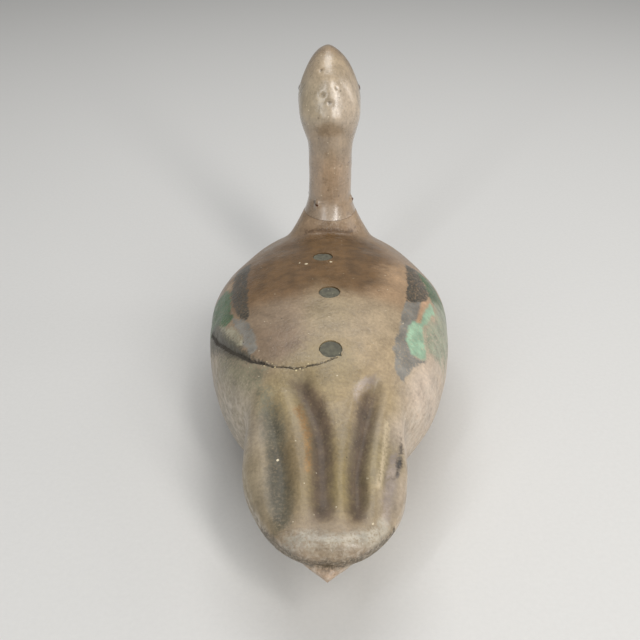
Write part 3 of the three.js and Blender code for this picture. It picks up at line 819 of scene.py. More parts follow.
def seam_putty():
    """A band of putty between the bodies, squeezed out unevenly along the seam."""
    outer_y = stations_between(-98, 197, 240)
    inner_y = stations_between(*CAVITY, 240)
    loops = []
    for side in (1, -1):
        outer = np.column_stack([side * hull_width_at(outer_y, SEAM_Z), outer_y])
        inner = np.column_stack([side * (hollow_width(CAVITY, inner_y) + 1.5), inner_y])
        loops.append((outer[:: side][:-1], inner[:: side][:-1]))
    outer, inner = (np.vstack([first, second]) for first, second in zip(*loops))
    inward = inner - outer
    inward /= np.linalg.norm(inward, axis=1)[:, None]
    flat = np.column_stack([outer, np.full(len(outer), SEAM_Z)])
    inset = 1.15 + 0.5 * lumps(flat, 11, 1) + 0.3 * lumps(flat, 3, 2)
    wave = 0.12 * lumps(flat, 6, 3)
    sections = []
    for depth, level in ((0.7, -0.28), (0.15, -0.45), (0, 0), (0.15, 0.45), (0.7, 0.28)):
        edge = outer + inward * (inset + depth)[:, None]
        sections.append(np.column_stack([edge, SEAM_Z + level + wave]))
    sections += [np.column_stack([inner, np.full(len(inner), SEAM_Z + z)]) for z in (0.28, -0.28)]
    obj = closed_band("seam_putty_band", np.stack(sections, axis=1))
    return finish_piece(obj, "seam_putty", "seam_seal")


def lead_strip():
    low, high = node_box("lead_ballast")
    obj = slab("lead_ballast_strip", low, high, 4, bevel=1.4)
    remesh(obj, VOXEL["lead"], 2)
    p = coordinates(obj)
    inside = smoothstep(0, 3, np.minimum(p[:, 0] - low[0], high[0] - p[:, 0]))
    dents = 0.45 * np.minimum(0, lumps(p, 11, 1)) + 0.12 * lumps(p, 4, 2)
    reshape(obj, p - normals(obj) * (0.1 * inside - dents * (p[:, 2] < low[2] + 2))[:, None])
    for where in CORNERS:
        at, low, high = upright(f"{where}_ballast_screw")
        cone = [(4, low - 3), (4, low + 0.3), (2.1, low + 3), (2.1, high)]
        cut(obj, lathe("countersink", at, cone, 32))
    return finish_piece(obj, "lead", "lead_ballast")


def ballast_screw(where, turn):
    at, low, high = upright(f"{where}_ballast_screw")
    outline = [(0.2, low), (3.2, low), (3.55, low + 0.3), (3.5, low + 0.6), (1.8, low + 2.6)]
    threads = np.arange(low + 3, high - 2, 0.55)
    outline += [(1.7 - 0.25 * (i % 2), level) for i, level in enumerate(threads)]
    outline += [(1.3, high - 1.4), (0.1, high)]
    obj = lathe(f"{where}_ballast_screw_slotted", at, outline, 28)
    across = np.array([math.cos(turn), math.sin(turn)])
    along = np.array([-across[1], across[0]])
    corners = [
        [*(np.array(at) + a * 0.5 * across + b * 5 * along), level]
        for level in (low - 1, low + 0.9)
        for b in (-1, 1)
        for a in (-1, 1)
    ]
    cut(obj, new_object("slot", corners, BOX_FACES))
    return finish_piece(obj, "iron", f"{where}_ballast_screw")


def circle(centre, radius, plane, steps=64):
    phi = turns(steps)
    points = np.zeros((steps, 3)) + centre
    points[:, plane[0]] += radius * np.cos(phi)
    points[:, plane[1]] += radius * np.sin(phi)
    return points


LINE_EYE = {"loop": 5, "wire": 1.6, "z": 25}


def line_tie():
    """The screw eye in the breast and the ring that hangs in it."""
    low, high = node_box("line_eye")
    centre = np.array([0, high[1] - LINE_EYE["loop"] - LINE_EYE["wire"], LINE_EYE["z"]])
    loop = tube("line_screw_eye", circle(centre, LINE_EYE["loop"], (1, 2)), LINE_EYE["wire"], closed=True)
    inward = np.array([0, -31.5, 4]) / math.hypot(31.5, 4)
    along = np.linspace(4.6, 31.5, 70)
    radii = LINE_EYE["wire"] - 0.28 * (np.arange(70) % 2) * (along > 13) * (along < 30)
    radii[-4:] = (1.3, 0.9, 0.5, 0.15)
    shank = tube("shank", centre + along[:, None] * inward, radii)
    join(loop, shank)
    finish_piece(loop, "iron", "line_eye")
    low, high = node_box("line_ring")
    path = circle((low + high) / 2, 9, (0, 2), 80)
    wear = 1.4 - 0.12 * bell(np.arange(80) - 20, 6)
    ring = tube("line_tie_ring", path, wear, closed=True, across=(0, 1, 0))
    finish_piece(ring, "iron", "line_ring", body="ring")
    return loop, ring


# ---------------------------------------------------------------- paint laid on the wood
def srgb(red, green, blue):
    """A colour on the 0 to 255 scale, as linear light."""
    value = np.array([red, green, blue]) / 255
    return tuple(np.where(value > 0.04045, ((value + 0.055) / 1.055) ** 2.4, value / 12.92))


# Wood and thin paint at places on the body, with painted light: a lighter band at the foot of the neck is a
# painted highlight, and the right side is given lighter colours than the left, as lit from the right. Each
# row: x, station, height and colour.
BODY_TINTS_WITH_PAINTED_LIGHT = [
    ((-32, 108, 100), (106, 80, 52)), ((30, 108, 100), (144, 117, 90)), ((0, 128, 104), (128, 102, 76)),
    ((0, 150, 104), (172, 150, 126)), ((15, 160, 106), (166, 142, 116)), ((-15, 160, 106), (156, 132, 106)),
    ((0, 140, 98), (120, 94, 68)), ((-55, 70, 92), (118, 90, 60)), ((50, 75, 94), (178, 147, 114)),
    ((0, 60, 111), (132, 110, 82)), ((-35, 50, 104), (128, 100, 70)), ((38, 52, 106), (162, 134, 104)),
    ((0, 14, 110), (156, 139, 111)), ((-32, 14, 106), (146, 126, 104)), ((32, 12, 107), (166, 147, 120)),
    ((-40, -8, 100), (138, 119, 98)), ((0, -32, 103), (148, 131, 98)), ((34, -22, 100), (174, 153, 122)),
    ((26, -50, 92), (158, 138, 104)), ((-25, -50, 92), (150, 133, 98)), ((66, -30, 78), (202, 184, 166)),
    ((78, 20, 66), (196, 176, 155)), ((-64, -36, 76), (163, 152, 134)), ((-80, 10, 60), (160, 146, 126)),
    ((-48, -66, 70), (156, 143, 124)), ((50, -66, 70), (184, 168, 150)), ((0, 198, 64), (128, 102, 74)),
    ((60, 150, 60), (140, 114, 86)), ((-60, 150, 60), (132, 106, 78)), ((0, -100, 84), (136, 118, 82)),
    ((-14, -92, 84), (136, 118, 86)), ((9, -105, 82), (148, 130, 88)), ((27, -92, 80), (152, 136, 102)),
    ((-42, -108, 72), (142, 129, 106)), ((44, -108, 72), (172, 155, 134)), ((0, -146, 70), (136, 120, 98)),
    ((0, -153, 56), (182, 157, 133)), ((70, 60, 30), (176, 158, 134)), ((-70, 60, 30), (158, 142, 118)),
    ((0, -40, 10), (186, 170, 146)), ((0, 100, 0), (188, 172, 148)),
]
EYE_STRIPE = [
    (212, 198), (206, 206), (198, 210), (188, 207), (182, 199), (180, 188), (188, 185), (200, 189),
]
# Colours on the head and neck, with painted highlights: lighter on both sides of the back of the head, the
# right one most, and lighter on the right of the neck. x, station, height and colour.
HEAD_TINTS_WITH_PAINTED_LIGHT = [
    ((0, 172, 226), (178, 158, 130)), ((14, 160, 200), (198, 180, 158)), ((-14, 160, 200), (176, 160, 134)),
    ((0, 158, 172), (164, 144, 120)), ((0, 154, 140), (176, 150, 122)), ((10, 158, 122), (176, 150, 122)),
    ((0, 154, 110), (178, 158, 136)), ((15, 162, 112), (168, 144, 118)),
    ((-15, 162, 112), (158, 136, 112)), ((0, 196, 232), (160, 136, 106)),
    ((0, 200, 165), (150, 126, 100)),
]
# Outlines of the painted marks, in plan, by the name of their attribute.
MARKS = {
    "shoulder": [
        [(-60, 112), (-58, 40), (-37, 44), (-25, 38), (-9, 50), (10, 38), (24, 40), (34, 52), (38, 70),
         (44, 108), (36, 136), (0, 142), (-40, 136)],
    ],
    "warm_grey": [[(-50, 15), (-44, 6), (-22, 2), (-16, -16), (-32, -24), (-47, -10)]],
    "grey_green": [
        [(-74, 8), (-56, -13), (-39, -28), (-42, -38), (-50, -38), (-61, -25), (-72, -6)],
        [(-50, -24), (-44, -32), (-36, -44), (-29, -62), (-27, -80), (-36, -80), (-40, -60), (-46, -42)],
    ],
    "dark": [
        [(-61, 113), (-60, 72), (-57, 45), (-55, 22), (-60, 24), (-68, 46), (-72, 66), (-73, 88),
         (-70, 113)],
        [(58, 109), (68, 110), (71, 90), (73, 72), (69, 58), (60, 45), (53, 42), (56, 68)],
    ],
    "tan": [[(-72, 90), (-72, 74), (-80, 80), (-79, 94)], [(76, 60), (84, 84), (90, 60), (84, 52)]],
    "green": [
        [(-72, 72), (-69, 48), (-66, 32), (-72, 29), (-80, 40), (-90, 46), (-90, 84), (-78, 83)],
        [(67, 110), (78, 104), (90, 80), (88, 62), (74, 62), (72, 75), (69, 93)],
    ],
    "pale": [[(-80, 41), (-72, 30), (-63, 19), (-56, 4), (-57, -1), (-66, 4), (-77, 22), (-86, 34)]],
    "grey": [
        [(-67, 33), (-60, 25), (-53, 16), (-48, 2), (-46, -10), (-51, -12), (-56, -2), (-57, 8),
         (-63, 19)],
        [(53, 42), (64, 50), (63, 37), (58, 22), (52, 9), (51, -2), (55, -10), (63, -8),
         (53, -20), (46, -32),
         (42, -29), (41, -12), (46, 9), (49, 26)],
    ],
    "mottled": [[(75, 62), (88, 84), (90, 40), (76, 6), (65, 2), (63, 13), (64, 22), (74, 42)]],
    "mint": [
        [(66, 40), (60, 24), (56, 22), (52, 11), (50, 0), (53, -9), (60, -9), (64, -3), (63, 7), (63, 21),
         (75, 49), (73, 61)],
    ],
    "pink": [[(66, 53), (73, 63), (66, 45), (62, 25), (59, 23), (62, 38)]],
    "slate": [
        [(-37, -58), (-30, -62), (-26, -85), (-21, -112), (-20, -134), (-29, -136), (-33, -111),
         (-36, -80)],
    ],
    "brown": [
        [(-22, -40), (-13, -41), (-4, -52), (2, -68), (1, -112), (3, -130), (-8, -131),
         (-9, -104), (-10, -76),
         (-14, -55)],
        [(22, -46), (29, -43), (27, -57), (24, -77), (20, -100), (20, -130), (12, -131),
         (12, -99), (14, -78),
         (16, -59)],
    ],
    "orange": [
        [(-22, -58), (-17, -54), (-13, -63), (-10, -76), (-10, -100), (-12.5, -100), (-13, -84),
         (-16, -71)],
    ],
    # The first outline is lavender-grey paint; the second, along the raised feather edge, is a painted
    # highlight.
    "lavender_and_painted_highlight": [
        [(36, -84), (32, -102), (30, -119), (30, -131), (33, -128), (36, -110), (40, -95), (41, -80)],
        [(15, -47), (18, -42), (23, -37), (29, -34), (29, -37), (23, -43), (18, -49), (16, -54)],
    ],
    # Pale patches along the wing-tip rim: a painted highlight.
    "rim_painted_highlight": [
        [(-24, -138), (-12, -138), (0, -140), (12, -139), (24, -135), (32, -127), (34, -131), (26, -141),
         (12, -146), (0, -146), (-12, -145), (-22, -146)],
    ],
    "black": [[(43, -66), (44, -76), (42, -90), (39, -99), (38.5, -96), (40.5, -84), (42, -73)]],
}


def put(obj, name, values):
    attribute = obj.data.attributes.new(name, "FLOAT", "POINT")
    attribute.data.foreach_set("value", np.asarray(values, np.float32))


def put_tints(obj, tints, reach):
    """Blends colours given at places into one that changes smoothly over the surface."""
    p = coordinates(obj)
    total = np.zeros((len(p), 3))
    weight = np.zeros(len(p))
    for place, colour in tints:
        gap = np.linalg.norm(p - place, axis=1) / reach
        near = 1 / (gap**2 + 0.12) ** 2
        total += near[:, None] * srgb(*colour)
        weight += near
    values = np.column_stack([total / weight[:, None], np.ones(len(p))])
    attribute = obj.data.attributes.new("tint_with_painted_light", "FLOAT_COLOR", "POINT")
    attribute.data.foreach_set("color", values.astype(np.float32).ravel())


def paint_body(obj):
    put_tints(obj, BODY_TINTS_WITH_PAINTED_LIGHT, 20)
    p = coordinates(obj)
    x, y, z = p.T
    n = normals(obj)
    foot = 60 + 5 * lumps(p, 22, 4)
    for name, outlines in MARKS.items():
        gaps = [outline_distance(x, y, outline) for outline in outlines]
        put(obj, name, np.maximum(np.min(gaps, axis=0), foot - z))
    gap, along = path_place(x, y, CRACK)
    put(obj, "crack", np.maximum(gap - crack_width(along) * 0.8, 55 - z))
    put(obj, "crumbs", np.maximum(gap - 1.6, np.abs(along - 0.74) * 150 - 18))
    drops = [np.hypot(x - dx, y - dy) - radius for dx, dy, radius in CREAM_DROPS]
    put(obj, "drops", np.maximum(np.min(drops, axis=0) + 0.25, 60 - z))
    stain = np.interp(along, [0, 0.1, 0.35, 0.5, 0.65], [3, 4.2, 4, 2.4, -1])
    put(obj, "crack_stain", np.maximum(gap - stain, 55 - z))
    # A dark band over the lower half of the wing-tip rim: painted shade under the rim, with dirt.
    rim_underside_shade_and_dirt = np.maximum(z - 67, 59.5 - z) + 9 * (y > -126)
    put(obj, "rim_underside_shade_and_dirt", rim_underside_shade_and_dirt)
    gloss = bell(y - RIM_RIDGE, 8) * (z > 64) + smoothstep(94, 100, z) * (y > 130)
    put(obj, "gloss", gloss)
    # Painted highlight along the raised ridge on the right wing.
    put(obj, "ridge_painted_highlight", path_place(x, y, RIDGE_WITH_PAINTED_HIGHLIGHT)[0] - 1.2 + 9 * (z < 60))
    # Depth of the flutes, for their painted shade and their roughness.
    put(obj, "flute", flute_depth(x, y) * clamp01(n[:, 2] * 1.6) / 3)
    put(obj, "flank", smoothstep(0.75, 0.2, n[:, 2]) * smoothstep(90, 20, y))
    above = z >= chine(y)
    height = np.where(above, back_height(y), keel_depth(y)) + 1e-6
    power = np.where(above, back_power(y), keel_power(y))
    level = np.abs(z - chine(y)) + flute_depth(x, y) * above
    reach = (np.abs(x) / (hull_half_width(y) + 1e-6)) ** power + (level / height) ** power
    inside = smoothstep(0.9, 0.84, reach ** (1 / power)) * (z > 0.6)
    neck_gap = np.hypot(x, y - NECK["y"])
    inside = np.maximum(inside, (neck_gap < DOWEL["radius"] + 1) & (np.abs(z - 84) < 22))
    put(obj, "bare", inside * (y < 200) * (y > CAVITY[0] - 1))
    ring = np.abs(z - 98 - 4 * bell(x, 15) - 1.6 * lumps(p, 9, 8)) - 0.7
    put(obj, "collar", np.maximum(ring, (np.abs(x) - 19) / 3) + 9 * (y > 168) + 9 * (y < 130))


def paint_head(obj):
    put_tints(obj, HEAD_TINTS_WITH_PAINTED_LIGHT, 16)
    p = coordinates(obj)
    put(obj, "bill", -bill_edge(p))
    side_gap = outline_distance(p[:, 1], p[:, 2], EYE_STRIPE)
    put(obj, "eye_stripe", np.maximum(side_gap, 15 - np.abs(p[:, 0] - lean(p[:, 2]))))
    neck_gap = np.hypot(p[:, 0], p[:, 1] - NECK["y"])
    put(obj, "bare", (neck_gap < DOWEL["radius"] + 1) & (p[:, 2] < DOWEL["top"] + 1))
    ragged = np.abs(p[:, 2] - 118.5 - 1.6 * lumps(p, 7, 7)) - 0.6
    put(obj, "seam", ragged + 0.25 * np.maximum(0, p[:, 0] + 6) + (p[:, 1] > 166))
    pits = [np.linalg.norm(p - pit[:3], axis=1) - pit[3] * 0.8 for pit in HEAD_PITS]
    put(obj, "pits", np.min(pits, axis=0))


# ---------------------------------------------------------------- materials
class Graph:
    """A material's nodes. Sizes are in millimetres and noises run from 0 to 1."""

    def __init__(self, name, coat=0.0, coat_roughness=0.2, metallic=0.0, specular=0.5):
        self.material = bpy.data.materials.new(name)
        self.material.use_nodes = True
        self.tree = self.material.node_tree
        self.tree.nodes.clear()
        self.shader = self.node("ShaderNodeBsdfPrincipled")
        self.shader.inputs["Coat Weight"].default_value = coat
        self.shader.inputs["Coat Roughness"].default_value = coat_roughness
        self.shader.inputs["Metallic"].default_value = metallic
        self.shader.inputs["Specular IOR Level"].default_value = specular
        output = self.node("ShaderNodeOutputMaterial")
        self.tree.links.new(self.shader.outputs[0], output.inputs[0])
        self.place = self.node("ShaderNodeTexCoord").outputs["Object"]
        self.colour = (0.5, 0.5, 0.5)

    def node(self, kind, **settings):
        made = self.tree.nodes.new(kind)
        for key, value in settings.items():
            setattr(made, key, value)
        return made

    def feed(self, socket, value):
        if isinstance(value, bpy.types.NodeSocket):
            self.tree.links.new(value, socket)
        elif socket.type == "RGBA":
            socket.default_value = (*value, 1)
        else:
            socket.default_value = value

    def math(self, operation, a, b=0.0):
        made = self.node("ShaderNodeMath", operation=operation)
        self.feed(made.inputs[0], a)
        self.feed(made.inputs[1], b)
        return made.outputs[0]

    def times(self, a, b):
        return self.math("MULTIPLY", a, b)

    def plus(self, a, b):
        return self.math("ADD", a, b)

    def centred(self, value, spread):
        """A noise made to run as far below 0 as above it, spread from end to end."""
        return self.times(self.math("SUBTRACT", value, 0.5), spread)

    def attribute(self, name, output="Fac"):
        return self.node("ShaderNodeAttribute", attribute_name=name).outputs[output]

    def moved(self, size, stretch, seed):
        mapping = self.node("ShaderNodeMapping")
        self.feed(mapping.inputs["Vector"], self.place)
        mapping.inputs["Location"].default_value = (seed * 3.1, seed * 1.7, seed * 2.3)
        mapping.inputs["Scale"].default_value = [1000 / (size * s) for s in stretch]
        return mapping.outputs[0]

    def noise(self, size, detail=4.0, stretch=(1, 1, 1), seed=0):
        made = self.node("ShaderNodeTexNoise")
        self.feed(made.inputs["Vector"], self.moved(size, stretch, seed))
        made.inputs["Scale"].default_value = 1
        made.inputs["Detail"].default_value = detail
        made.inputs["Roughness"].default_value = 0.6
        return made.outputs["Fac"]

    def band(self, value, start, end, low=0.0, high=1.0):
        """From low to high as value goes smoothly from start to end."""
        made = self.node("ShaderNodeMapRange", interpolation_type="SMOOTHSTEP")
        for socket, given in zip(made.inputs, (value, start, end, low, high)):
            self.feed(socket, given)
        return made.outputs[0]

    def blend(self, factor, a, b):
        made = self.node("ShaderNodeMix", data_type="RGBA")
        self.feed(made.inputs[0], factor)
        self.feed(made.inputs[6], a)
        self.feed(made.inputs[7], b)
        return made.outputs[2]

    def scaled(self, colour, factor):
        made = self.node("ShaderNodeVectorMath", operation="SCALE")
        self.feed(made.inputs[0], colour)
        self.feed(made.inputs["Scale"], factor)
        return made.outputs[0]

    def lay(self, mask, colour):
        """Covers the colour so far with another one where the mask is 1."""
        self.colour = self.blend(mask, self.colour, colour)

    def shade(self, factor):
        self.colour = self.scaled(self.colour, factor)

    def specks(self, size, radius, share, seed=0):
        """Round dots in a share of the cells of that size."""
        cells = self.node("ShaderNodeTexVoronoi")
        self.feed(cells.inputs["Vector"], self.moved(size, (1, 1, 1), seed))
        cells.inputs["Scale"].default_value = 1
        split = self.node("ShaderNodeSeparateColor")
        self.feed(split.inputs[0], cells.outputs["Color"])
        dot = self.band(cells.outputs["Distance"], radius * 1.15, radius * 0.75)
        return self.times(dot, self.math("GREATER_THAN", split.outputs[0], 1 - share))

    def finish(self, roughness, height, relief):
        """Ends the material, with bumps of that relief in millimetres."""
        self.feed(self.shader.inputs["Base Color"], self.colour)
        self.feed(self.shader.inputs["Roughness"], roughness)
        bump = self.node("ShaderNodeBump")
        self.feed(bump.inputs["Height"], height)
        bump.inputs["Distance"].default_value = relief / 1000
        self.tree.links.new(bump.outputs[0], self.shader.inputs["Normal"])
        return self.material


def worn_paint_and_painted_light(g, marks):
    """Lays painted marks, some of them painted highlights and shade, each (attribute, colour, softness,
    raggedness, share left).
    """
    ragged = g.noise(7, 6, seed=4)
    crumbly = g.noise(1.6, 5, seed=5)
    uneven = g.band(g.noise(9, 6, seed=6), 0.3, 0.7, 0.74, 1.26)
    for name, tone, softness, raggedness, left in marks:
        wander = g.centred(ragged, raggedness * 4)
        nibble = g.centred(crumbly, raggedness * 1.6)
        edge = g.plus(g.plus(g.attribute(name), wander), nibble)
        mask = g.band(edge, softness, -softness)
        if left < 1:
            mask = g.times(mask, g.band(crumbly, left + 0.2, left - 0.14))
        g.lay(mask, g.scaled(srgb(*tone), uneven))


def bare_wood(g, seed=0):
    grain = g.noise(2.2, 5, (1, 16, 1), seed + 7)
    return g.blend(g.band(grain, 0.35, 0.7), srgb(196, 160, 112), srgb(140, 102, 62))


BODY_MARKS = [
    ("shoulder", (108, 82, 52), 12, 6, 1),
    ("warm_grey", (130, 110, 90), 7, 3, 0.54),
    ("grey_green", (132, 126, 104), 4, 3, 0.56),
    ("dark", (68, 64, 54), 0.9, 1.9, 0.58),
    ("tan", (150, 120, 84), 1.5, 1.6, 0.7),
    ("green", (58, 92, 54), 1.2, 2.4, 0.6),
    ("pale", (158, 152, 130), 2, 2.6, 0.58),
    ("grey", (130, 126, 118), 1, 1.4, 0.62),
    ("mottled", (148, 154, 132), 4, 3, 0.58),
    ("mint", (152, 182, 154), 1.2, 1.2, 0.64),
    ("pink", (190, 154, 122), 1, 0.9, 0.7),
    ("slate", (98, 92, 74), 3.5, 2, 0.58),
    ("brown", (104, 86, 68), 4, 1.8, 0.64),
    ("orange", (160, 124, 78), 2, 1.2, 0.52),
    # Lavender paint, and a painted highlight on the feather edge.
    ("lavender_and_painted_highlight", (176, 160, 146), 1.8, 1.2, 0.6),
    # Painted highlight along the wing-tip rim.
    ("rim_painted_highlight", (176, 168, 152), 4, 3, 0.57),
    ("black", (60, 52, 44), 1.4, 1.2, 0.62),
    # Painted shade, with dirt, under the wing-tip rim.
    ("rim_underside_shade_and_dirt", (92, 80, 60), 2.4, 2, 0.56),
]


def body_material(name, marks):
    g = Graph(name, coat=0.16, coat_roughness=0.22)
    mottle = g.noise(16, 7)
    fine = g.noise(2, 6, seed=1)
    grain = g.noise(2.6, 5, (1, 18, 1), 2)
    g.colour = g.scaled(g.attribute("tint_with_painted_light", "Color"), g.band(mottle, 0.3, 0.7, 0.82, 1.16))
    g.shade(g.band(fine, 0.25, 0.75, 0.84, 1.14))
    flank = g.attribute("flank")
    streak = g.times(flank, g.band(grain, 0.42, 0.68))
    g.lay(g.times(streak, 0.55), srgb(214, 202, 186))
    dark_streak = g.times(flank, g.band(grain, 0.4, 0.28))
    g.lay(g.times(dark_streak, 0.5), srgb(112, 96, 80))
    worn_paint_and_painted_light(g, marks)
    flute = g.attribute("flute")
    # Painted shade: the colour darkens in the flutes as they deepen.
    g.shade(g.band(flute, 0.15, 1, 1, 0.72))
    cream = srgb(228, 216, 190)
    # Painted highlight along the raised ridge on the right wing, broken up by noise.
    highlight_breakup = g.band(fine, 0.35, 0.55, 0.2, 0.8)
    ridge_painted_highlight = g.times(g.band(g.attribute("ridge_painted_highlight"), 1.6, -1), highlight_breakup)
    g.lay(ridge_painted_highlight, srgb(200, 182, 150))
    # Pale specks of paint, which also stand in for glints: partly a painted highlight.
    pale_specks_and_painted_glints = g.times(g.specks(6, 0.08, 0.4, 1), g.band(mottle, 0.42, 0.58))
    g.lay(g.times(pale_specks_and_painted_glints, 0.75), cream)
    dark_dots = g.times(g.specks(6, 0.09, 0.35, 2), g.band(mottle, 0.52, 0.4))
    g.lay(g.times(dark_dots, 0.7), srgb(60, 50, 38))
    wavy = g.plus(g.attribute("crack"), g.centred(fine, 2.4))
    crack = g.band(wavy, 0.8, -0.6)
    smudge = g.plus(g.attribute("crack_stain"), g.centred(fine, 7))
    g.lay(g.band(smudge, 2, -1.6, 0, 0.85), srgb(76, 73, 60))
    collar = g.plus(g.attribute("collar"), g.centred(fine, 3))
    g.lay(g.band(collar, 0.9, -0.9, 0, 0.75), srgb(88, 66, 46))
    g.lay(crack, srgb(56, 50, 40))
    crumb = g.times(g.band(g.attribute("crumbs"), 0.4, -0.4), g.specks(1.9, 0.34, 0.5, 3))
    g.lay(crumb, srgb(214, 198, 156))
    g.lay(g.band(g.attribute("drops"), 0.35, -0.25), srgb(226, 212, 182))
    bare = g.attribute("bare")
    g.lay(bare, bare_wood(g))
    roughness = g.band(mottle, 0.3, 0.7, 0.27, 0.45)
    roughness = g.plus(roughness, g.times(flank, 0.14))
    roughness = g.plus(roughness, g.times(flute, 0.2))
    roughness = g.math("SUBTRACT", roughness, g.times(g.attribute("gloss"), 0.16))
    roughness = g.math("MAXIMUM", roughness, g.times(g.math("MAXIMUM", bare, crack), 0.85))
    height = g.plus(g.times(fine, 0.7), g.times(mottle, 0.8))
    height = g.plus(height, g.times(g.times(grain, flank), 0.9))
    return g.finish(roughness, height, 0.62)


def head_material():
    g = Graph("worn_head_paint", coat=0.9, coat_roughness=0.26, specular=0.8)
    mottle = g.noise(11, 7)
    fine = g.noise(1.6, 6, seed=1)
    grain = g.noise(2, 5, (1, 1, 14), 2)
    g.colour = g.scaled(g.attribute("tint_with_painted_light", "Color"), g.band(mottle, 0.3, 0.7, 0.82, 1.14))
    g.shade(g.band(fine, 0.25, 0.75, 0.86, 1.12))
    g.shade(g.band(grain, 0.3, 0.7, 0.9, 1.08))
    marks = [("eye_stripe", (74, 84, 62), 1.2, 1.4, 0.6), ("bill", (70, 66, 58), 0.8, 0.5, 0.72)]
    worn_paint_and_painted_light(g, marks)
    g.lay(g.times(g.specks(5, 0.12, 0.3, 3), 0.75), srgb(228, 214, 188))
    dark_dots = g.times(g.specks(4, 0.13, 0.3, 2), g.band(mottle, 0.55, 0.4))
    g.lay(g.times(dark_dots, 0.7), srgb(64, 52, 38))
    seam = g.times(g.band(g.attribute("seam"), 0.5, -0.5), g.band(mottle, 0.45, 0.6))
    dark = g.math("MAXIMUM", g.band(g.attribute("pits"), 0.5, -0.6), seam)
    g.lay(g.times(dark, 0.55), srgb(76, 60, 44))
    g.lay(g.attribute("bare"), bare_wood(g))
    roughness = g.band(mottle, 0.3, 0.7, 0.24, 0.36)
    height = g.plus(g.times(fine, 0.6), g.times(mottle, 0.8))
    return g.finish(roughness, height, 0.4)


def wood_material():
    g = Graph("bare_wood")
    fine = g.noise(1.2, 5, (1, 1, 10), 3)
    g.colour = bare_wood(g, 2)
    return g.finish(g.band(fine, 0.3, 0.7, 0.65, 0.85), fine, 0.2)


def filler_material():
    g = Graph("plug_filler")
    mottle = g.noise(3.5, 6)
    g.colour = g.blend(g.band(mottle, 0.35, 0.65), srgb(80, 78, 67), srgb(104, 102, 87))
    g.lay(g.specks(2.4, 0.16, 0.3), srgb(150, 142, 122))
    return g.finish(g.band(mottle, 0.3, 0.7, 0.65, 0.85), mottle, 0.3)


def putty_material():
    g = Graph("seam_putty")
    mottle = g.noise(6, 6)
    g.colour = g.blend(g.band(mottle, 0.35, 0.65), srgb(92, 80, 62), srgb(186, 176, 152))
    return g.finish(g.band(mottle, 0.3, 0.7, 0.7, 0.9), mottle, 0.25)


def lead_material():
    g = Graph("lead", metallic=0.6)
    mottle = g.noise(8, 7)
    fine = g.noise(1.2, 5, seed=2)
    g.colour = g.blend(g.band(mottle, 0.35, 0.65), srgb(112, 113, 116), srgb(158, 157, 152))
    g.lay(g.band(fine, 0.6, 0.72, 0, 0.6), srgb(202, 200, 192))
    return g.finish(g.band(mottle, 0.3, 0.7, 0.45, 0.7), fine, 0.15)


def iron_material():
    g = Graph("rusted_iron", metallic=0.55)
    mottle = g.noise(3, 7)
    fine = g.noise(0.6, 5, seed=2)
    g.colour = g.blend(g.band(mottle, 0.4, 0.6), srgb(74, 64, 56), srgb(112, 66, 38))
    g.lay(g.band(fine, 0.6, 0.75, 0, 0.5), srgb(150, 92, 52))
    return g.finish(g.band(mottle, 0.3, 0.7, 0.45, 0.8), fine, 0.12)


def eye_material():
    """A black pupil in a brown iris, by the distance from the eye's own axis."""
    g = Graph("eye_glass", coat=1.0, coat_roughness=0.02)
    split = g.node("ShaderNodeSeparateXYZ")
    g.feed(split.inputs[0], g.place)
    _, y, z = to_frame(eye_place(1))
    ahead = g.times(g.math("SUBTRACT", split.outputs[1], y), 1000)
    above = g.times(g.math("SUBTRACT", split.outputs[2], z), 1000)
    reach = g.math("SQRT", g.plus(g.math("POWER", ahead, 2), g.math("POWER", above, 2)))
    angle = g.math("ARCTAN2", above, ahead)
    rays = g.math("ABSOLUTE", g.math("SINE", g.times(angle, 23)))
    iris = g.blend(g.times(rays, 0.6), srgb(96, 50, 20), srgb(150, 88, 36))
    g.colour = g.blend(g.band(reach, 2.35, 2.15), iris, (0.004, 0.003, 0.003))
    g.lay(g.band(reach, 3.7, 4.1), (0.01, 0.006, 0.004))
    return g.finish(0.08, g.noise(4), 0.02)


# ---------------------------------------------------------------- the pieces put together
upper_body, lower_body = body_pieces()
head = head_piece()
for obj in (upper_body, lower_body):
    paint_body(obj)
paint_head(head)
finish_piece(upper_body, "upper_body_paint", "upper_body")
finish_piece(lower_body, "lower_body_paint", "lower_body")
finish_piece(head, "head_paint", "head_and_neck")
plugs = [plug(where) for where in PLUG_STATIONS]
eyes = [glass_eye(side) for side in (-1, 1)]
putty = seam_putty()
lead = lead_strip()
ballast_screws = [ballast_screw(where, 0.4 + 1.1 * i) for i, where in enumerate(CORNERS)]
iron_pieces = [*line_tie(), *ballast_screws]

wood, iron = wood_material(), iron_material()
coats = [
    ([upper_body], body_material("upper_body_paint", BODY_MARKS)),
    ([lower_body], body_material("lower_body_paint", [])),
    ([head], head_material()),
    (plugs, filler_material()),
    (eyes, eye_material()),
    ([putty], putty_material()),
    ([lead], lead_material()),
    (iron_pieces, iron),
]
for pieces, material in coats:
    for piece in pieces:
        piece.data.materials.clear()
        piece.data.materials.append(material)
for name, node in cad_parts.items():
    if not node.hide_render:
        for place in node.material_slots:
            place.material = wood if name.endswith(("peg", "dowel")) else iron

# ---------------------------------------------------------------- camera, light and floor
VIEW = {"place": (-0.0005, -0.47275, 0.408), "tilt": 55, "turn": 0.74, "lens": 45, "sensor": 36}

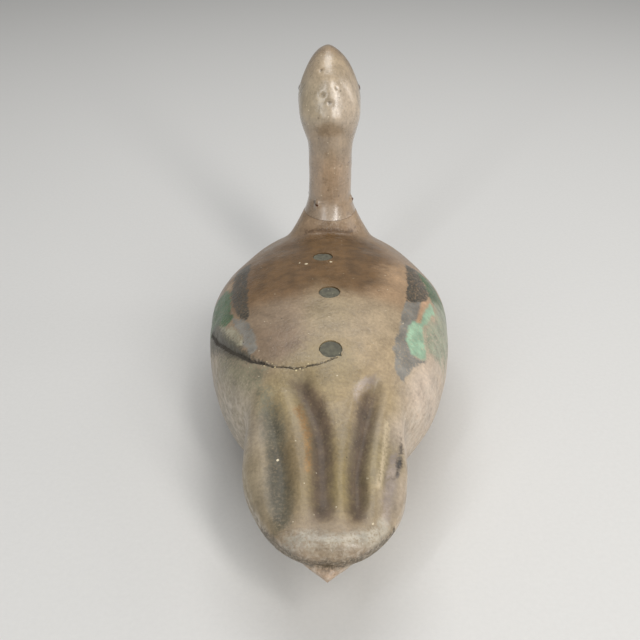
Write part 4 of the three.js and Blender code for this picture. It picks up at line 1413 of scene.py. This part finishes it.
camera = bpy.data.cameras.new("camera")
camera.lens = VIEW["lens"]
camera.sensor_width = VIEW["sensor"]
viewer = bpy.data.objects.new("camera", camera)
viewer.location = VIEW["place"]
viewer.rotation_euler = (math.radians(VIEW["tilt"]), 0, math.radians(VIEW["turn"]))
bpy.context.scene.collection.objects.link(viewer)
bpy.context.scene.camera = viewer


def area_light(name, place, target, width, height, power, colour):
    light = bpy.data.lights.new(name, "AREA")
    light.shape = "RECTANGLE"
    light.size = width
    light.size_y = height
    light.energy = power
    light.color = colour
    lamp = bpy.data.objects.new(name, light)
    lamp.location = place
    aim = Vector(target) - Vector(place)
    lamp.rotation_euler = aim.to_track_quat("-Z", "Y").to_euler()
    bpy.context.scene.collection.objects.link(lamp)


# Name, place, the point it faces, width, height, watts and colour, in metres.
LIGHTS = [
    ("key", (0.6, -0.95, 0.95), (0, 0, 0.1), 0.2, 1.2, 11, (1, 0.975, 0.94)),
    ("fill", (-0.6, -0.95, 0.95), (0, 0, 0.1), 0.08, 1.1, 4, (0.95, 0.975, 1)),
    ("side", (1.3, 0.3, 0.8), (0, 0, 0.08), 0.5, 0.9, 3, (1, 1, 1)),
    ("top", (0, 0.5, 1.5), (0, 0.1, 0.1), 1.2, 0.9, 10, (1, 1, 1)),
]
for row in LIGHTS:
    area_light(*row)
world = bpy.data.worlds.new("studio")
bpy.context.scene.world = world
world.use_nodes = True
backdrop = world.node_tree.nodes["Background"]
backdrop.inputs["Color"].default_value = (0.8, 0.8, 0.79, 1)
backdrop.inputs["Strength"].default_value = 0.3
bpy.context.scene.view_settings.view_transform = "Standard"

FLOOR_RADIUS = 6000
FLOOR_LEVELS = (-30, -0.02)
floor = lathe("floor", (0, 0), [(FLOOR_RADIUS, level) for level in FLOOR_LEVELS], 96)
g = Graph("pale_floor")
speckle = g.noise(3, 4)
g.colour = g.blend(speckle, (0.66, 0.655, 0.64), (0.72, 0.715, 0.7))
floor.data.materials.append(g.finish(0.85, speckle, 0.1))
